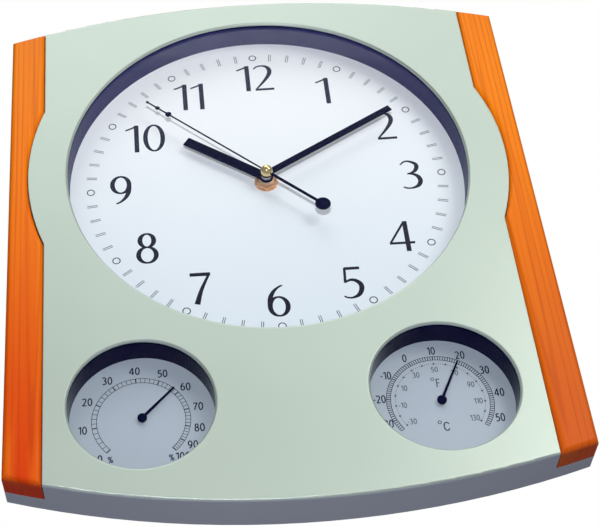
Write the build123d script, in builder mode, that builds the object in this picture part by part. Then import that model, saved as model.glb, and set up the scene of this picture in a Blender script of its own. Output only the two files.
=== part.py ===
from build123d import *

import os
from math import cos, radians, sin, sqrt

os.makedirs("parts", exist_ok=True)

# Sizes are in millimetres. Seen from the front, X runs right and Z runs up, and the dial faces -Y.
# The origin is the hanging keyhole on the wall plane. A height is a distance in front of that plane.

# Front outline
WINDOW_RADIUS = 100.7
LOBE_LAND = 19.8  # bezel face between the dial window and the side strips
TOP_LAND = 16.1  # bezel face above the dial window
BOTTOM_LAND = 14.6  # bezel face straight below a gauge window
STRIP_WIDTH = 17.8
STRIP_WAIST = 9.5  # width that the lobe leaves of a strip
GAUGE_WINDOW_RADIUS = 33.4
GAUGE_LAND = 19.4  # bezel face between the dial window and a gauge window
GAUGE_SIDE_LAND = 10.55  # bezel face between a gauge window and its side strip
TOP_SAG = 19.8  # rise of the curved top over its corners
BOTTOM_SAG = 19.1

# Bezel, strips and windows
BEZEL_DEPTH = 22.0
BEZEL_WALL = 2.5
BEZEL_FACE = 3.0
BEZEL_EDGE = 1.2
WINDOW_CHAMFER = 0.9
WINDOW_LIP = 1.4  # thickness of the lip that holds a lens
WINDOW_SEAT = 2.9  # how far a lens reaches under its lip
WELL_WALL = 2.2
LENS_THICKNESS = 1.2
LENS_GAP = 0.3
STRIP_DEPTH = 12.6
STRIP_PROUD = 0.6
STRIP_GAP = 0.3
STRIP_EDGE = 2.6

# Dial and gauges
DIAL_RECESS = 15.4
DIAL_THICKNESS = 1.5
DIAL_RIM = 5.2  # dial plate beyond the wall of its well
GAUGE_RECESS = 14.6
GAUGE_DIAL_THICKNESS = 0.8
CUP_INSET = 3.4  # cup wall inside the radius of its window
CUP_DEPTH = 8.6
CUP_SHEET = 0.6

# Back cover
COVER_FLANGE = 2.4
COVER_WALL = 2.2
COVER_BACK = 2.5
COVER_INSET = 14.0  # step from the bezel's side to the rear box
COVER_CORNER = 8.0
COVER_GAP = 0.3
OPENING_MARGIN = 3.0
KEYHOLE_INSET = 36.8  # top of the case down to the keyhole
KEYHOLE_RADIUS = 5.0
KEYHOLE_SLOT = 4.6
KEYHOLE_RISE = 9.0
VENT_COUNT = 5
VENT_LENGTH = 24.0
VENT_WIDTH = 2.6
VENT_PITCH = 6.0

# Screws
SCREW_RADIUS = 1.2
SCREW_HEAD_RADIUS = 2.6
SCREW_HEAD = 1.6
SCREW_HEAD_ROUND = 0.5
SCREW_BITE = 6.0
SCREW_PLAY = 0.05
SCREW_CLEARANCE = 0.4
BOSS_RADIUS = 3.4
RECESS_LENGTH = 3.0
RECESS_WIDTH = 0.7
RECESS_DEPTH = 0.8
CLIP_LENGTH = 12.0
CLIP_WIDTH = 8.0
CLIP_THICKNESS = 1.2
CLIP_SHIFT = 3.0  # clip's middle from its screw, towards the gauge
GAUGE_SCREW_REACH = 2.0  # boss centre beyond the wall of a gauge well
SIDE_SCREW_DROP = 20.0  # dial centre down to the screws at the sides
STRIP_SCREW_SHIFT = 19.8  # strip screws off the foot of the dial window and the gauges' level
DIAL_SCREW_DIRECTIONS = (45, 135, 225, 315)  # degrees from +X
GAUGE_SCREW_DIRECTIONS = (90, 210, 330)

# Time and readings of the rest pose, as clock hands are read
REST_HOURS = 10
REST_MINUTES = 9
REST_SECONDS = 52
HYGROMETER_REST = 44.5  # degrees clockwise from the top
THERMOMETER_REST = 27.0

# Hands, with heights above the dial
HAND_SHEET = 0.5
HOUR_HAND_LENGTH = 48.4
HOUR_HAND_WIDTH = 5.5
HOUR_HAND_HEIGHT = 4.0
HOUR_HUB_RADIUS = 3.4
MINUTE_HAND_LENGTH = 79.6
MINUTE_HAND_WIDTH = 3.6
MINUTE_HAND_HEIGHT = 6.6
MINUTE_HUB_RADIUS = 2.8
MINUTE_BUSH_RADIUS = 2.5
SECOND_HAND_LENGTH = 79.0
SECOND_HAND_HEIGHT = 8.8
SECOND_HAND_SHEET = 0.3
SECOND_HAND_WIDTH = 0.8
SECOND_TAIL_WIDTH = 1.6
SECOND_TAIL_REACH = 35.2
SECOND_TAIL_RADIUS = 3.9
SECOND_DOT_RADIUS = 0.75
SECOND_DISCS = ((7.0, 1.2), (14.4, 1.65))  # distance behind the tip, and radius
CAP_RADIUS = 3.2
CAP_HEIGHT = 9.0
CAP_FOOT = 1.7  # flat under the ball, below its centre
HAND_GAP = 0.3

# Movement
MOVEMENT_SIZE = 56.0
MOVEMENT_DEPTH = 15.5
MOVEMENT_WALL = 1.5
MOVEMENT_CORNER = 3.0
PAD_THICKNESS = 1.0
PAD_RADIUS = 9.0
NECK_RADIUS = 4.0
NECK_HEIGHT = 3.0  # above the dial
NECK_GAP = 0.3
WASHER_THICKNESS = 0.4
NUT_RADIUS = 6.0
NUT_FLATS = 10.6
NUT_THICKNESS = 2.2
NUT_CHAMFER = 0.45
NUT_TURN = 28.0
KNOB_RADIUS = 5.0
KNOB_THICKNESS = 2.9
KNOB_GAP = 0.3
KNOB_NOTCHES = 16
KNOB_NOTCH_RADIUS = 0.5
WALL_CLEARANCE = 1.4  # knob to wall plane

# Going train: pipes and arbors
SECOND_ARBOR = 0.5
MINUTE_PIPE = 1.68
HOUR_PIPE = 2.55
TRAIN_ARBOR = 0.45
SETTING_ARBOR = 1.2
RUNNING_GAP = 0.06
PIVOT_DEPTH = 0.8
WHEEL_THICKNESS = 1.2
LAYER_PITCH = 1.6

# Going train: teeth
SECONDS_WHEEL_TEETH = 60
SECONDS_PINION_TEETH = 8
THIRD_WHEEL_TEETH = 60
THIRD_PINION_TEETH = 8
CENTRE_WHEEL_TEETH = 64
CENTRE_PINION_TEETH = 15
MOTION_WHEEL_TEETH = 45
MOTION_PINION_TEETH = 12
HOUR_WHEEL_TEETH = 48
SETTING_PINION_TEETH = 15
INTERMEDIATE_PINION_TEETH = 12
INTERMEDIATE_WHEEL_TEETH = 60
ROTOR_PINION_TEETH = 10
SECONDS_MODULE = 0.23
THIRD_MODULE = 0.24
ROTOR_MODULE = 0.22
MOTION_MODULE = 0.3
ADDENDUM = 0.8
DEDENDUM = 1.25
TOOTH_ROOT = 0.27  # half widths of a tooth, as shares of the pitch
TOOTH_TIP = 0.1
THIRD_DIRECTION = 150.0  # directions of the axes, in degrees from +X
INTERMEDIATE_DIRECTION = 30.0
ROTOR_DIRECTION = 50.0
MOTION_DIRECTION = 90.0
SETTING_DIRECTION = 120.0

# Step motor, board and battery
ROTOR_RADIUS = 2.2
ROTOR_THICKNESS = 1.6
ROTOR_GAP = 0.5
STATOR_THICKNESS = 1.0
STATOR_WIDTH = 8.0
CORE_WIDTH = 3.0
CORE_LENGTH = 15.0
COIL_SPAN = 12.0
COIL_OUTSIDE = 6.8
BOBBIN_WALL = 0.6
COIL_MARGIN = 2.4  # coil to the movement's side wall
POST_RADIUS = 1.2
POST_SPREAD = 2.7  # posts from the rotor's level
BOARD_WIDTH = 10.0
BOARD_HEIGHT = 31.0
BOARD_THICKNESS = 1.2
DOME_RADIUS = 3.3  # potting over the chip
DOME_HEIGHT = 1.0
DOME_DROP = 7.75
DOME_TAPER = 45.0
CRYSTAL_RADIUS = 1.0
CRYSTAL_LENGTH = 6.0
CRYSTAL_ROUND = 0.25
BATTERY_RADIUS = 7.25
BATTERY_LENGTH = 50.5
BATTERY_NUB_RADIUS = 2.7
BATTERY_NUB = 1.3
BATTERY_ROUND = 0.4
BATTERY_GAP = 0.3
CONTACT_SHEET = 0.4
CONTACT_WIDTH = 8.0
CONTACT_BOSS_RADIUS = 2.7
CONTACT_TAPER = 30.0

# Gauge works
POINTER_SHEET = 0.4
POINTER_HEIGHT = 1.4
POINTER_ROOT = 1.3
POINTER_TIP = 0.8
POINTER_HUB = 2.2
POINTER_TAPER = 45.0
HYGROMETER_POINTER_LENGTH = 21.6
THERMOMETER_POINTER_LENGTH = 22.9
GAUGE_ARBOR = 0.5
GAUGE_ARBOR_HOLE = 1.0
COLLET_RADIUS = 1.2
COIL_STRIP = 0.3
COIL_HEIGHT = 3.0
COIL_STEP = 0.55  # growth of the radius in each half turn
COIL_HALF_TURNS = 14
COIL_CLEARANCE = 0.3
COIL_STANDOFF = 1.4  # dial to coil
BRIDGE_WIDTH = 5.0
BRIDGE_SHEET = 1.0
BRIDGE_GAP = 0.8
FOOT_HALF = 1.5
CUP_VENTS = 8
CUP_VENT_RADIUS = 1.5

SIDES = (-1, 1)

# Outline places, seen from the dial centre
lobe_radius = WINDOW_RADIUS + LOBE_LAND
half_width = lobe_radius + STRIP_WAIST
strip_inner = half_width - STRIP_WIDTH
top_rise = WINDOW_RADIUS + TOP_LAND
gauge_spread = strip_inner - GAUGE_SIDE_LAND - GAUGE_WINDOW_RADIUS
gauge_distance = WINDOW_RADIUS + GAUGE_LAND + GAUGE_WINDOW_RADIUS
gauge_drop = sqrt(gauge_distance**2 - gauge_spread**2)
top_arc_radius = (half_width**2 + TOP_SAG**2) / (2 * TOP_SAG)
bottom_arc_radius = (half_width**2 + BOTTOM_SAG**2) / (2 * BOTTOM_SAG)
gauge_rise = bottom_arc_radius - sqrt(bottom_arc_radius**2 - gauge_spread**2)
bottom_drop = gauge_drop + GAUGE_WINDOW_RADIUS + BOTTOM_LAND + gauge_rise

# Places in the row frame
dial_centre = (0.0, KEYHOLE_INSET - top_rise)
hygrometer_centre = (-gauge_spread, dial_centre[1] - gauge_drop)
thermometer_centre = (gauge_spread, dial_centre[1] - gauge_drop)

# Heights above the wall plane
knob_rear = WALL_CLEARANCE
movement_rear = knob_rear + KNOB_THICKNESS + KNOB_GAP
movement_front = movement_rear + MOVEMENT_DEPTH
dial_rear = movement_front + PAD_THICKNESS
dial_front = dial_rear + DIAL_THICKNESS
case_front = dial_front + DIAL_RECESS
bezel_rear = case_front - BEZEL_DEPTH
face_rear = case_front - BEZEL_FACE
shelf_front = case_front - STRIP_DEPTH
shelf_rear = shelf_front - BEZEL_WALL
lens_front = case_front - WINDOW_LIP
lens_rear = lens_front - LENS_THICKNESS
flange_front = bezel_rear + COVER_FLANGE
gauge_front = case_front - GAUGE_RECESS
gauge_rear = gauge_front - GAUGE_DIAL_THICKNESS
cup_flange_rear = gauge_rear - CUP_SHEET
cup_rear = gauge_rear - CUP_DEPTH

# Radii of the wells
dial_seat = WINDOW_RADIUS + WINDOW_SEAT
dial_well = dial_seat + WELL_WALL
dial_radius = dial_well + DIAL_RIM
gauge_seat = GAUGE_WINDOW_RADIUS + WINDOW_SEAT
gauge_well = gauge_seat + WELL_WALL
cup_radius = GAUGE_WINDOW_RADIUS - CUP_INSET

# Angles of the hands, clockwise from the top
second_angle = REST_SECONDS * 6
minute_angle = REST_MINUTES * 6 + REST_SECONDS / 10
hour_angle = REST_HOURS * 30 + minute_angle / 12


def face_plane(height, centre=dial_centre, turn=0.0):
    """Plane parallel to the wall, whose local Y axis points `turn` degrees clockwise from up."""
    across = (cos(radians(turn)), 0, -sin(radians(turn)))
    return Plane(origin=(centre[0], -height, centre[1]), x_dir=across, z_dir=(0, -1, 0))


def polar(distance, direction, start=(0.0, 0.0)):
    """Point at a distance and a direction in degrees from +X."""
    angle = radians(direction)
    return (start[0] + distance * cos(angle), start[1] + distance * sin(angle))


def top_edge(across, inset):
    """Height of the case's top edge over the dial centre, drawn in by an inset."""
    return top_rise - top_arc_radius + sqrt((top_arc_radius - inset) ** 2 - across**2)


def bottom_edge(across, inset):
    """Height of the case's bottom edge over the dial centre, drawn in by an inset."""
    return bottom_arc_radius - bottom_drop - sqrt((bottom_arc_radius - inset) ** 2 - across**2)


def case_outline(inset):
    """Straight sides between a curved top and a curved bottom, round the dial centre."""
    side = half_width - inset
    top = top_edge(side, inset)
    bottom = bottom_edge(side, inset)
    with BuildSketch(mode=Mode.PRIVATE) as outline:
        with BuildLine():
            Line((-side, bottom), (-side, top))
            ThreePointArc((-side, top), (0, top_edge(0, inset)), (side, top))
            Line((side, top), (side, bottom))
            ThreePointArc((side, bottom), (0, bottom_edge(0, inset)), (-side, bottom))
        make_face()
    return outline.sketch


def strip_outline(side, gap):
    """Side strip between the case's side and the bezel, kept a gap from the bezel."""
    reach = half_width - strip_inner - gap
    tall = 2 * (top_rise + bottom_drop)
    with BuildSketch(mode=Mode.PRIVATE) as outline:
        with Locations((side * (half_width - reach / 2), 0)):
            Rectangle(reach, tall)
        Circle(lobe_radius + gap, mode=Mode.SUBTRACT)
        add(case_outline(0), mode=Mode.INTERSECT)
    return outline.sketch


def mesh_phase(direction, teeth, driver_teeth, driver_phase):
    """Direction of a tooth of a gear that lies in mesh, `direction` degrees from its driver."""
    driver_pitch = 360 / driver_teeth
    offset = (driver_phase - direction + driver_pitch / 2) % driver_pitch - driver_pitch / 2
    return direction + 180 + 180 / teeth - offset * driver_teeth / teeth


def gear_outline(teeth, module, phase):
    """Toothed disc with one tooth on the direction `phase`."""
    pitch = 360 / teeth
    tip = module * (teeth / 2 + ADDENDUM)
    root = module * (teeth / 2 - DEDENDUM)
    points = []
    for index in range(teeth):
        middle = phase + index * pitch
        points.append(polar(root, middle - TOOTH_ROOT * pitch))
        points.append(polar(tip, middle - TOOTH_TIP * pitch))
        points.append(polar(tip, middle + TOOTH_TIP * pitch))
        points.append(polar(root, middle + TOOTH_ROOT * pitch))
    with BuildSketch(mode=Mode.PRIVATE) as disc:
        with BuildLine():
            Polyline(*points, close=True)
        make_face()
    return disc.sketch


def screw_group(places, seat, length):
    """Pan-head screws on one plane: heads behind the seat, shanks in front of it."""
    with BuildPart(mode=Mode.PRIVATE) as group:
        with BuildSketch(face_plane(seat)):
            with Locations(*places):
                Circle(SCREW_RADIUS)
        extrude(amount=length)
        with BuildSketch(face_plane(seat)):
            with Locations(*places):
                Circle(SCREW_HEAD_RADIUS)
        extrude(amount=-SCREW_HEAD)
        fillet(group.faces().group_by(Axis.Y)[-1].edges(), radius=SCREW_HEAD_ROUND)
        with BuildSketch(face_plane(seat - SCREW_HEAD)):
            with Locations(*places):
                Rectangle(RECESS_LENGTH, RECESS_WIDTH)
                Rectangle(RECESS_WIDTH, RECESS_LENGTH)
        extrude(amount=RECESS_DEPTH, mode=Mode.SUBTRACT)
    return group.part


# Screw places round the dial centre
boss_inset = (BEZEL_WALL + COVER_GAP + COVER_INSET) / 2
top_screw_x = half_width / 2
bottom_screw_x = gauge_spread / 2
side_screw_x = half_width - boss_inset
top_screws = [(side * top_screw_x, top_edge(top_screw_x, boss_inset)) for side in SIDES]
bottom_screws = [(side * bottom_screw_x, bottom_edge(bottom_screw_x, boss_inset)) for side in SIDES]
side_screws = [(side * side_screw_x, -SIDE_SCREW_DROP) for side in SIDES]
case_screw_places = top_screws + bottom_screws + side_screws

strip_screw_x = half_width - STRIP_WIDTH / 2
strip_screw_heights = (
    top_rise - KEYHOLE_INSET,
    -WINDOW_RADIUS + STRIP_SCREW_SHIFT,
    -gauge_drop - STRIP_SCREW_SHIFT,
)
strip_screw_places = [(side * strip_screw_x, height) for side in SIDES for height in strip_screw_heights]

dial_screw_radius = dial_well + DIAL_RIM / 2
dial_screw_places = [polar(dial_screw_radius, direction) for direction in DIAL_SCREW_DIRECTIONS]

gauge_screw_radius = gauge_well + GAUGE_SCREW_REACH
gauge_middles = [(side * gauge_spread, -gauge_drop) for side in SIDES]
gauge_screw_places = [
    polar(gauge_screw_radius, direction, middle)
    for middle in gauge_middles
    for direction in GAUGE_SCREW_DIRECTIONS
]

# Axes of the going train, round the dial centre
third_distance = THIRD_MODULE * (SECONDS_PINION_TEETH + THIRD_WHEEL_TEETH) / 2
centre_module = 2 * third_distance / (THIRD_PINION_TEETH + CENTRE_WHEEL_TEETH)
intermediate_distance = SECONDS_MODULE * (SECONDS_WHEEL_TEETH + INTERMEDIATE_PINION_TEETH) / 2
rotor_distance = ROTOR_MODULE * (INTERMEDIATE_WHEEL_TEETH + ROTOR_PINION_TEETH) / 2
motion_distance = MOTION_MODULE * (CENTRE_PINION_TEETH + MOTION_WHEEL_TEETH) / 2
hour_module = 2 * motion_distance / (MOTION_PINION_TEETH + HOUR_WHEEL_TEETH)
setting_distance = MOTION_MODULE * (MOTION_WHEEL_TEETH + SETTING_PINION_TEETH) / 2
third_axis = polar(third_distance, THIRD_DIRECTION)
intermediate_axis = polar(intermediate_distance, INTERMEDIATE_DIRECTION)
rotor_axis = polar(rotor_distance, ROTOR_DIRECTION, intermediate_axis)
motion_axis = polar(motion_distance, MOTION_DIRECTION)
setting_axis = polar(setting_distance, SETTING_DIRECTION, motion_axis)

# Tooth directions, each gear in mesh with the one before it
third_phase = mesh_phase(THIRD_DIRECTION, THIRD_WHEEL_TEETH, SECONDS_PINION_TEETH, THIRD_DIRECTION)
centre_direction = THIRD_DIRECTION + 180
centre_phase = mesh_phase(centre_direction, CENTRE_WHEEL_TEETH, THIRD_PINION_TEETH, centre_direction)
intermediate_phase = mesh_phase(
    INTERMEDIATE_DIRECTION, INTERMEDIATE_PINION_TEETH, SECONDS_WHEEL_TEETH, INTERMEDIATE_DIRECTION
)
rotor_phase = mesh_phase(ROTOR_DIRECTION, ROTOR_PINION_TEETH, INTERMEDIATE_WHEEL_TEETH, ROTOR_DIRECTION)
motion_phase = mesh_phase(MOTION_DIRECTION, MOTION_WHEEL_TEETH, CENTRE_PINION_TEETH, MOTION_DIRECTION)
hour_direction = MOTION_DIRECTION + 180
hour_phase = mesh_phase(hour_direction, HOUR_WHEEL_TEETH, MOTION_PINION_TEETH, hour_direction)
setting_phase = mesh_phase(SETTING_DIRECTION, SETTING_PINION_TEETH, MOTION_WHEEL_TEETH, motion_phase)

# Heights inside the movement: the layers of the train run from the front plate to the rear
train_front = movement_front - MOVEMENT_WALL
train_rear = movement_rear + MOVEMENT_WALL
hour_layer, motion_layer, centre_layer, third_layer, seconds_layer, rotor_layer = [
    train_front - LAYER_PITCH * count for count in range(1, 7)
]
pivot_rear = train_rear - PIVOT_DEPTH
pivot_front = train_front + PIVOT_DEPTH
magnet_rear = rotor_layer + LAYER_PITCH
magnet_front = magnet_rear + ROTOR_THICKNESS
rotor_boss_rear = magnet_front + HAND_GAP
stator_rear = (magnet_rear + magnet_front - STATOR_THICKNESS) / 2
stator_front = stator_rear + STATOR_THICKNESS
movement_half = MOVEMENT_SIZE / 2
movement_inner = movement_half - MOVEMENT_WALL
battery_axis_y = -movement_inner + BATTERY_RADIUS + BATTERY_GAP
battery_axis_height = movement_rear + BATTERY_RADIUS + BATTERY_GAP
divider_bottom = battery_axis_y + BATTERY_RADIUS + BATTERY_GAP
divider_top = divider_bottom + MOVEMENT_WALL
battery_floor = battery_axis_height + BATTERY_RADIUS + RUNNING_GAP
coil_axis_x = movement_inner - COIL_MARGIN - COIL_OUTSIDE / 2 + BOBBIN_WALL
stator_bottom = rotor_axis[1] - STATOR_WIDTH / 2
core_bottom = stator_bottom - CORE_LENGTH
post_places = [(coil_axis_x, rotor_axis[1] + offset * POST_SPREAD) for offset in SIDES]

# Heights of the hands
hour_plate = dial_front + HOUR_HAND_HEIGHT
minute_plate = dial_front + MINUTE_HAND_HEIGHT
second_plate = dial_front + SECOND_HAND_HEIGHT
cap_middle = dial_front + CAP_HEIGHT
neck_front = dial_front + NECK_HEIGHT
hour_pipe_front = hour_plate + HAND_SHEET
minute_pipe_front = minute_plate + HAND_SHEET

# Heights of the gauge works
pointer_plate = gauge_front + POINTER_HEIGHT
coil_front = gauge_rear - COIL_STANDOFF
coil_rear = coil_front - COIL_HEIGHT
bridge_front = coil_rear - BRIDGE_GAP
bridge_rear = bridge_front - BRIDGE_SHEET
coil_start = COLLET_RADIUS + COIL_CLEARANCE + COIL_STRIP / 2
coil_end = coil_start + COIL_HALF_TURNS * COIL_STEP
foot_reach = coil_end + COIL_STRIP / 2 + FOOT_HALF

# Front bezel: moulded tray with window wells, strip seats and screw bosses
wells = [((0.0, 0.0), WINDOW_RADIUS, dial_seat, dial_front)]
wells += [(middle, GAUGE_WINDOW_RADIUS, gauge_seat, cup_flange_rear) for middle in gauge_middles]
with BuildPart() as front_bezel:
    with BuildSketch(face_plane(bezel_rear)):
        add(case_outline(0))
    extrude(amount=BEZEL_DEPTH)
    with BuildSketch(face_plane(bezel_rear)):
        add(case_outline(BEZEL_WALL))
    extrude(amount=BEZEL_DEPTH - BEZEL_FACE, mode=Mode.SUBTRACT)
    for side in SIDES:
        with BuildSketch(face_plane(shelf_rear)):
            add(strip_outline(side, -BEZEL_WALL))
        extrude(amount=STRIP_DEPTH + BEZEL_WALL)
        with BuildSketch(face_plane(shelf_front)):
            add(strip_outline(side, 0))
        extrude(amount=STRIP_DEPTH, mode=Mode.SUBTRACT)
    for middle, window, seat, well_rear in wells:
        with BuildSketch(face_plane(well_rear)):
            with Locations(middle):
                Circle(seat + WELL_WALL)
        extrude(amount=face_rear - well_rear)
    boss_groups = (
        (dial_screw_places, dial_front, face_rear),
        (gauge_screw_places, cup_flange_rear, face_rear),
        (top_screws + bottom_screws, flange_front, face_rear),
        (side_screws, flange_front, shelf_rear),
    )
    for places, boss_rear, boss_front in boss_groups:
        with BuildSketch(face_plane(boss_rear)):
            with Locations(*places):
                Circle(BOSS_RADIUS)
        extrude(amount=boss_front - boss_rear)
    for middle, window, seat, well_rear in wells:
        with BuildSketch(face_plane(well_rear)):
            with Locations(middle):
                Circle(seat)
        extrude(amount=lens_front - well_rear, mode=Mode.SUBTRACT)
        with BuildSketch(face_plane(lens_front)):
            with Locations(middle):
                Circle(window)
        extrude(amount=WINDOW_LIP, mode=Mode.SUBTRACT)
    for places, boss_rear, boss_front in boss_groups:
        with BuildSketch(face_plane(boss_rear)):
            with Locations(*places):
                Circle(SCREW_RADIUS + SCREW_PLAY)
        extrude(amount=SCREW_BITE + SCREW_PLAY, mode=Mode.SUBTRACT)
    with BuildSketch(face_plane(shelf_rear)):
        with Locations(*strip_screw_places):
            Circle(SCREW_RADIUS + SCREW_CLEARANCE)
    extrude(amount=BEZEL_WALL, mode=Mode.SUBTRACT)
    front_face = front_bezel.faces().sort_by(Axis.Y)[0]
    fillet(front_face.outer_wire().edges().sort_by(SortBy.LENGTH)[-2:], radius=BEZEL_EDGE)
    front_face = front_bezel.faces().sort_by(Axis.Y)[0]
    window_edges = [edge for wire in front_face.inner_wires() for edge in wire.edges()]
    chamfer(window_edges, length=WINDOW_CHAMFER)
front_bezel.part.label = "front_bezel"
export_step(front_bezel.part, "parts/front_bezel.step")

# Side strips: solid strips in the seats of the bezel, rounded all round the front
for side, strip_name in ((-1, "left_side_strip"), (1, "right_side_strip")):
    with BuildPart() as side_strip:
        with BuildSketch(face_plane(shelf_front)):
            add(strip_outline(side, STRIP_GAP))
        extrude(amount=STRIP_DEPTH + STRIP_PROUD)
        fillet(side_strip.faces().sort_by(Axis.Y)[0].edges(), radius=STRIP_EDGE)
        with BuildSketch(face_plane(shelf_front)):
            with Locations(*strip_screw_places):
                Circle(SCREW_RADIUS + SCREW_PLAY)
        extrude(amount=SCREW_BITE + SCREW_PLAY, mode=Mode.SUBTRACT)
    side_strip.part.label = strip_name
    export_step(side_strip.part, f"parts/{strip_name}.step")

# Screws that hold the strips from behind
with BuildPart() as side_strip_screws:
    add(screw_group(strip_screw_places, shelf_rear, BEZEL_WALL + SCREW_BITE))
side_strip_screws.part.label = "side_strip_screws"
export_step(side_strip_screws.part, "parts/side_strip_screws.step")

# Windows: flat clear discs under the lips of the bezel, with a lining ring behind each
window_sets = (
    ("dial", dial_centre, WINDOW_RADIUS, dial_seat, dial_front),
    ("hygrometer", hygrometer_centre, GAUGE_WINDOW_RADIUS, gauge_seat, gauge_front),
    ("thermometer", thermometer_centre, GAUGE_WINDOW_RADIUS, gauge_seat, gauge_front),
)
for window_name, centre, window, seat, ring_rear in window_sets:
    with BuildPart() as lens:
        with BuildSketch(face_plane(lens_rear, centre)):
            Circle(seat - LENS_GAP)
        extrude(amount=LENS_THICKNESS)
    lens.part.label = f"{window_name}_lens"
    export_step(lens.part, f"parts/{window_name}_lens.step")
    with BuildPart() as ring:
        with BuildSketch(face_plane(ring_rear, centre)):
            Circle(seat - LENS_GAP)
            Circle(window, mode=Mode.SUBTRACT)
        extrude(amount=lens_rear - ring_rear)
    ring.part.label = f"{window_name}_ring"
    export_step(ring.part, f"parts/{window_name}_ring.step")

# Dial plate: flat disc screwed to the rear of its well
with BuildPart() as dial_plate:
    with BuildSketch(face_plane(dial_rear)):
        Circle(dial_radius)
        Circle(NECK_RADIUS + NECK_GAP, mode=Mode.SUBTRACT)
        with Locations(*dial_screw_places):
            Circle(SCREW_RADIUS + SCREW_CLEARANCE, mode=Mode.SUBTRACT)
    extrude(amount=DIAL_THICKNESS)
dial_plate.part.label = "dial_plate"
export_step(dial_plate.part, "parts/dial_plate.step")

with BuildPart() as dial_screws:
    add(screw_group(dial_screw_places, dial_rear, DIAL_THICKNESS + SCREW_BITE))
dial_screws.part.label = "dial_screws"
export_step(dial_screws.part, "parts/dial_screws.step")

# Rubber washer between the dial and the movement
with BuildPart() as rubber_washer:
    with BuildSketch(face_plane(movement_front)):
        Circle(PAD_RADIUS)
        Circle(NECK_RADIUS + NECK_GAP, mode=Mode.SUBTRACT)
    extrude(amount=PAD_THICKNESS)
rubber_washer.part.label = "rubber_washer"
export_step(rubber_washer.part, "parts/rubber_washer.step")

# Washer and nut on the threaded neck, in front of the dial
with BuildPart() as shaft_washer:
    with BuildSketch(face_plane(dial_front)):
        Circle(NUT_RADIUS)
        Circle(NECK_RADIUS + NECK_GAP, mode=Mode.SUBTRACT)
    extrude(amount=WASHER_THICKNESS)
shaft_washer.part.label = "shaft_washer"
export_step(shaft_washer.part, "parts/shaft_washer.step")

nut_rear = dial_front + WASHER_THICKNESS
with BuildPart() as shaft_nut:
    with BuildSketch(face_plane(nut_rear)):
        RegularPolygon(NUT_FLATS / 2, 6, major_radius=False, rotation=NUT_TURN)
        Circle(NUT_RADIUS, mode=Mode.INTERSECT)
        Circle(NECK_RADIUS + SCREW_PLAY, mode=Mode.SUBTRACT)
    extrude(amount=NUT_THICKNESS)
    chamfer(shaft_nut.faces().sort_by(Axis.Y)[0].outer_wire().edges(), length=NUT_CHAMFER)
shaft_nut.part.label = "shaft_nut"
export_step(shaft_nut.part, "parts/shaft_nut.step")

# Movement case: front half with the neck, the train chamber and the battery bay
with BuildPart() as movement_case:
    with BuildSketch(face_plane(train_rear)):
        RectangleRounded(MOVEMENT_SIZE, MOVEMENT_SIZE, MOVEMENT_CORNER)
    extrude(amount=movement_front - train_rear)
    chamber_height = movement_inner - divider_top
    with BuildSketch(face_plane(train_rear)):
        with Locations((0, (movement_inner + divider_top) / 2)):
            RectangleRounded(2 * movement_inner, chamber_height, MOVEMENT_CORNER - MOVEMENT_WALL)
    extrude(amount=train_front - train_rear, mode=Mode.SUBTRACT)
    with BuildSketch(face_plane(train_rear)):
        with Locations((0, (divider_bottom - movement_inner) / 2)):
            Rectangle(2 * movement_inner, divider_bottom + movement_inner)
    extrude(amount=battery_floor - train_rear, mode=Mode.SUBTRACT)
    with BuildSketch(face_plane(train_front)):
        Circle(NECK_RADIUS)
    extrude(amount=neck_front - train_front)
    with BuildSketch(face_plane(train_front)):
        Circle(HOUR_PIPE + RUNNING_GAP)
    extrude(amount=neck_front - train_front, mode=Mode.SUBTRACT)
    with BuildSketch(face_plane(rotor_boss_rear)):
        with Locations(rotor_axis):
            Circle(POST_RADIUS)
    extrude(amount=train_front - rotor_boss_rear)
    with BuildSketch(face_plane(rotor_boss_rear)):
        with Locations(rotor_axis):
            Circle(TRAIN_ARBOR + RUNNING_GAP)
    extrude(amount=PIVOT_DEPTH + RUNNING_GAP, mode=Mode.SUBTRACT)
    with BuildSketch(face_plane(stator_front)):
        with Locations(*post_places):
            Circle(POST_RADIUS)
    extrude(amount=train_front - stator_front)
    with BuildSketch(face_plane(motion_layer)):
        with Locations(motion_axis):
            Circle(TRAIN_ARBOR)
    extrude(amount=train_front - motion_layer)
    with BuildSketch(face_plane(train_front)):
        with Locations(third_axis, intermediate_axis):
            Circle(TRAIN_ARBOR + RUNNING_GAP)
        with Locations(setting_axis):
            Circle(SETTING_ARBOR + RUNNING_GAP)
    extrude(amount=PIVOT_DEPTH + RUNNING_GAP, mode=Mode.SUBTRACT)
movement_case.part.label = "movement_case"
export_step(movement_case.part, "parts/movement_case.step")

# Movement cover: rear lid over the train chamber, with the rear pivots
with BuildPart() as movement_cover:
    with BuildSketch(face_plane(movement_rear)):
        with Locations((0, (movement_half + divider_bottom) / 2)):
            RectangleRounded(MOVEMENT_SIZE, movement_half - divider_bottom, MOVEMENT_CORNER)
        with Locations(setting_axis):
            Circle(SETTING_ARBOR + RUNNING_GAP, mode=Mode.SUBTRACT)
    extrude(amount=MOVEMENT_WALL)
    with BuildSketch(face_plane(train_rear)):
        with Locations((0, 0), third_axis, intermediate_axis, rotor_axis):
            Circle(SECOND_ARBOR + RUNNING_GAP)
    extrude(amount=-PIVOT_DEPTH - RUNNING_GAP, mode=Mode.SUBTRACT)
    fillet(movement_cover.faces().sort_by(Axis.Y)[-1].outer_wire().edges(), radius=MOVEMENT_WALL / 2)
movement_cover.part.label = "movement_cover"
export_step(movement_cover.part, "parts/movement_cover.step")

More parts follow.
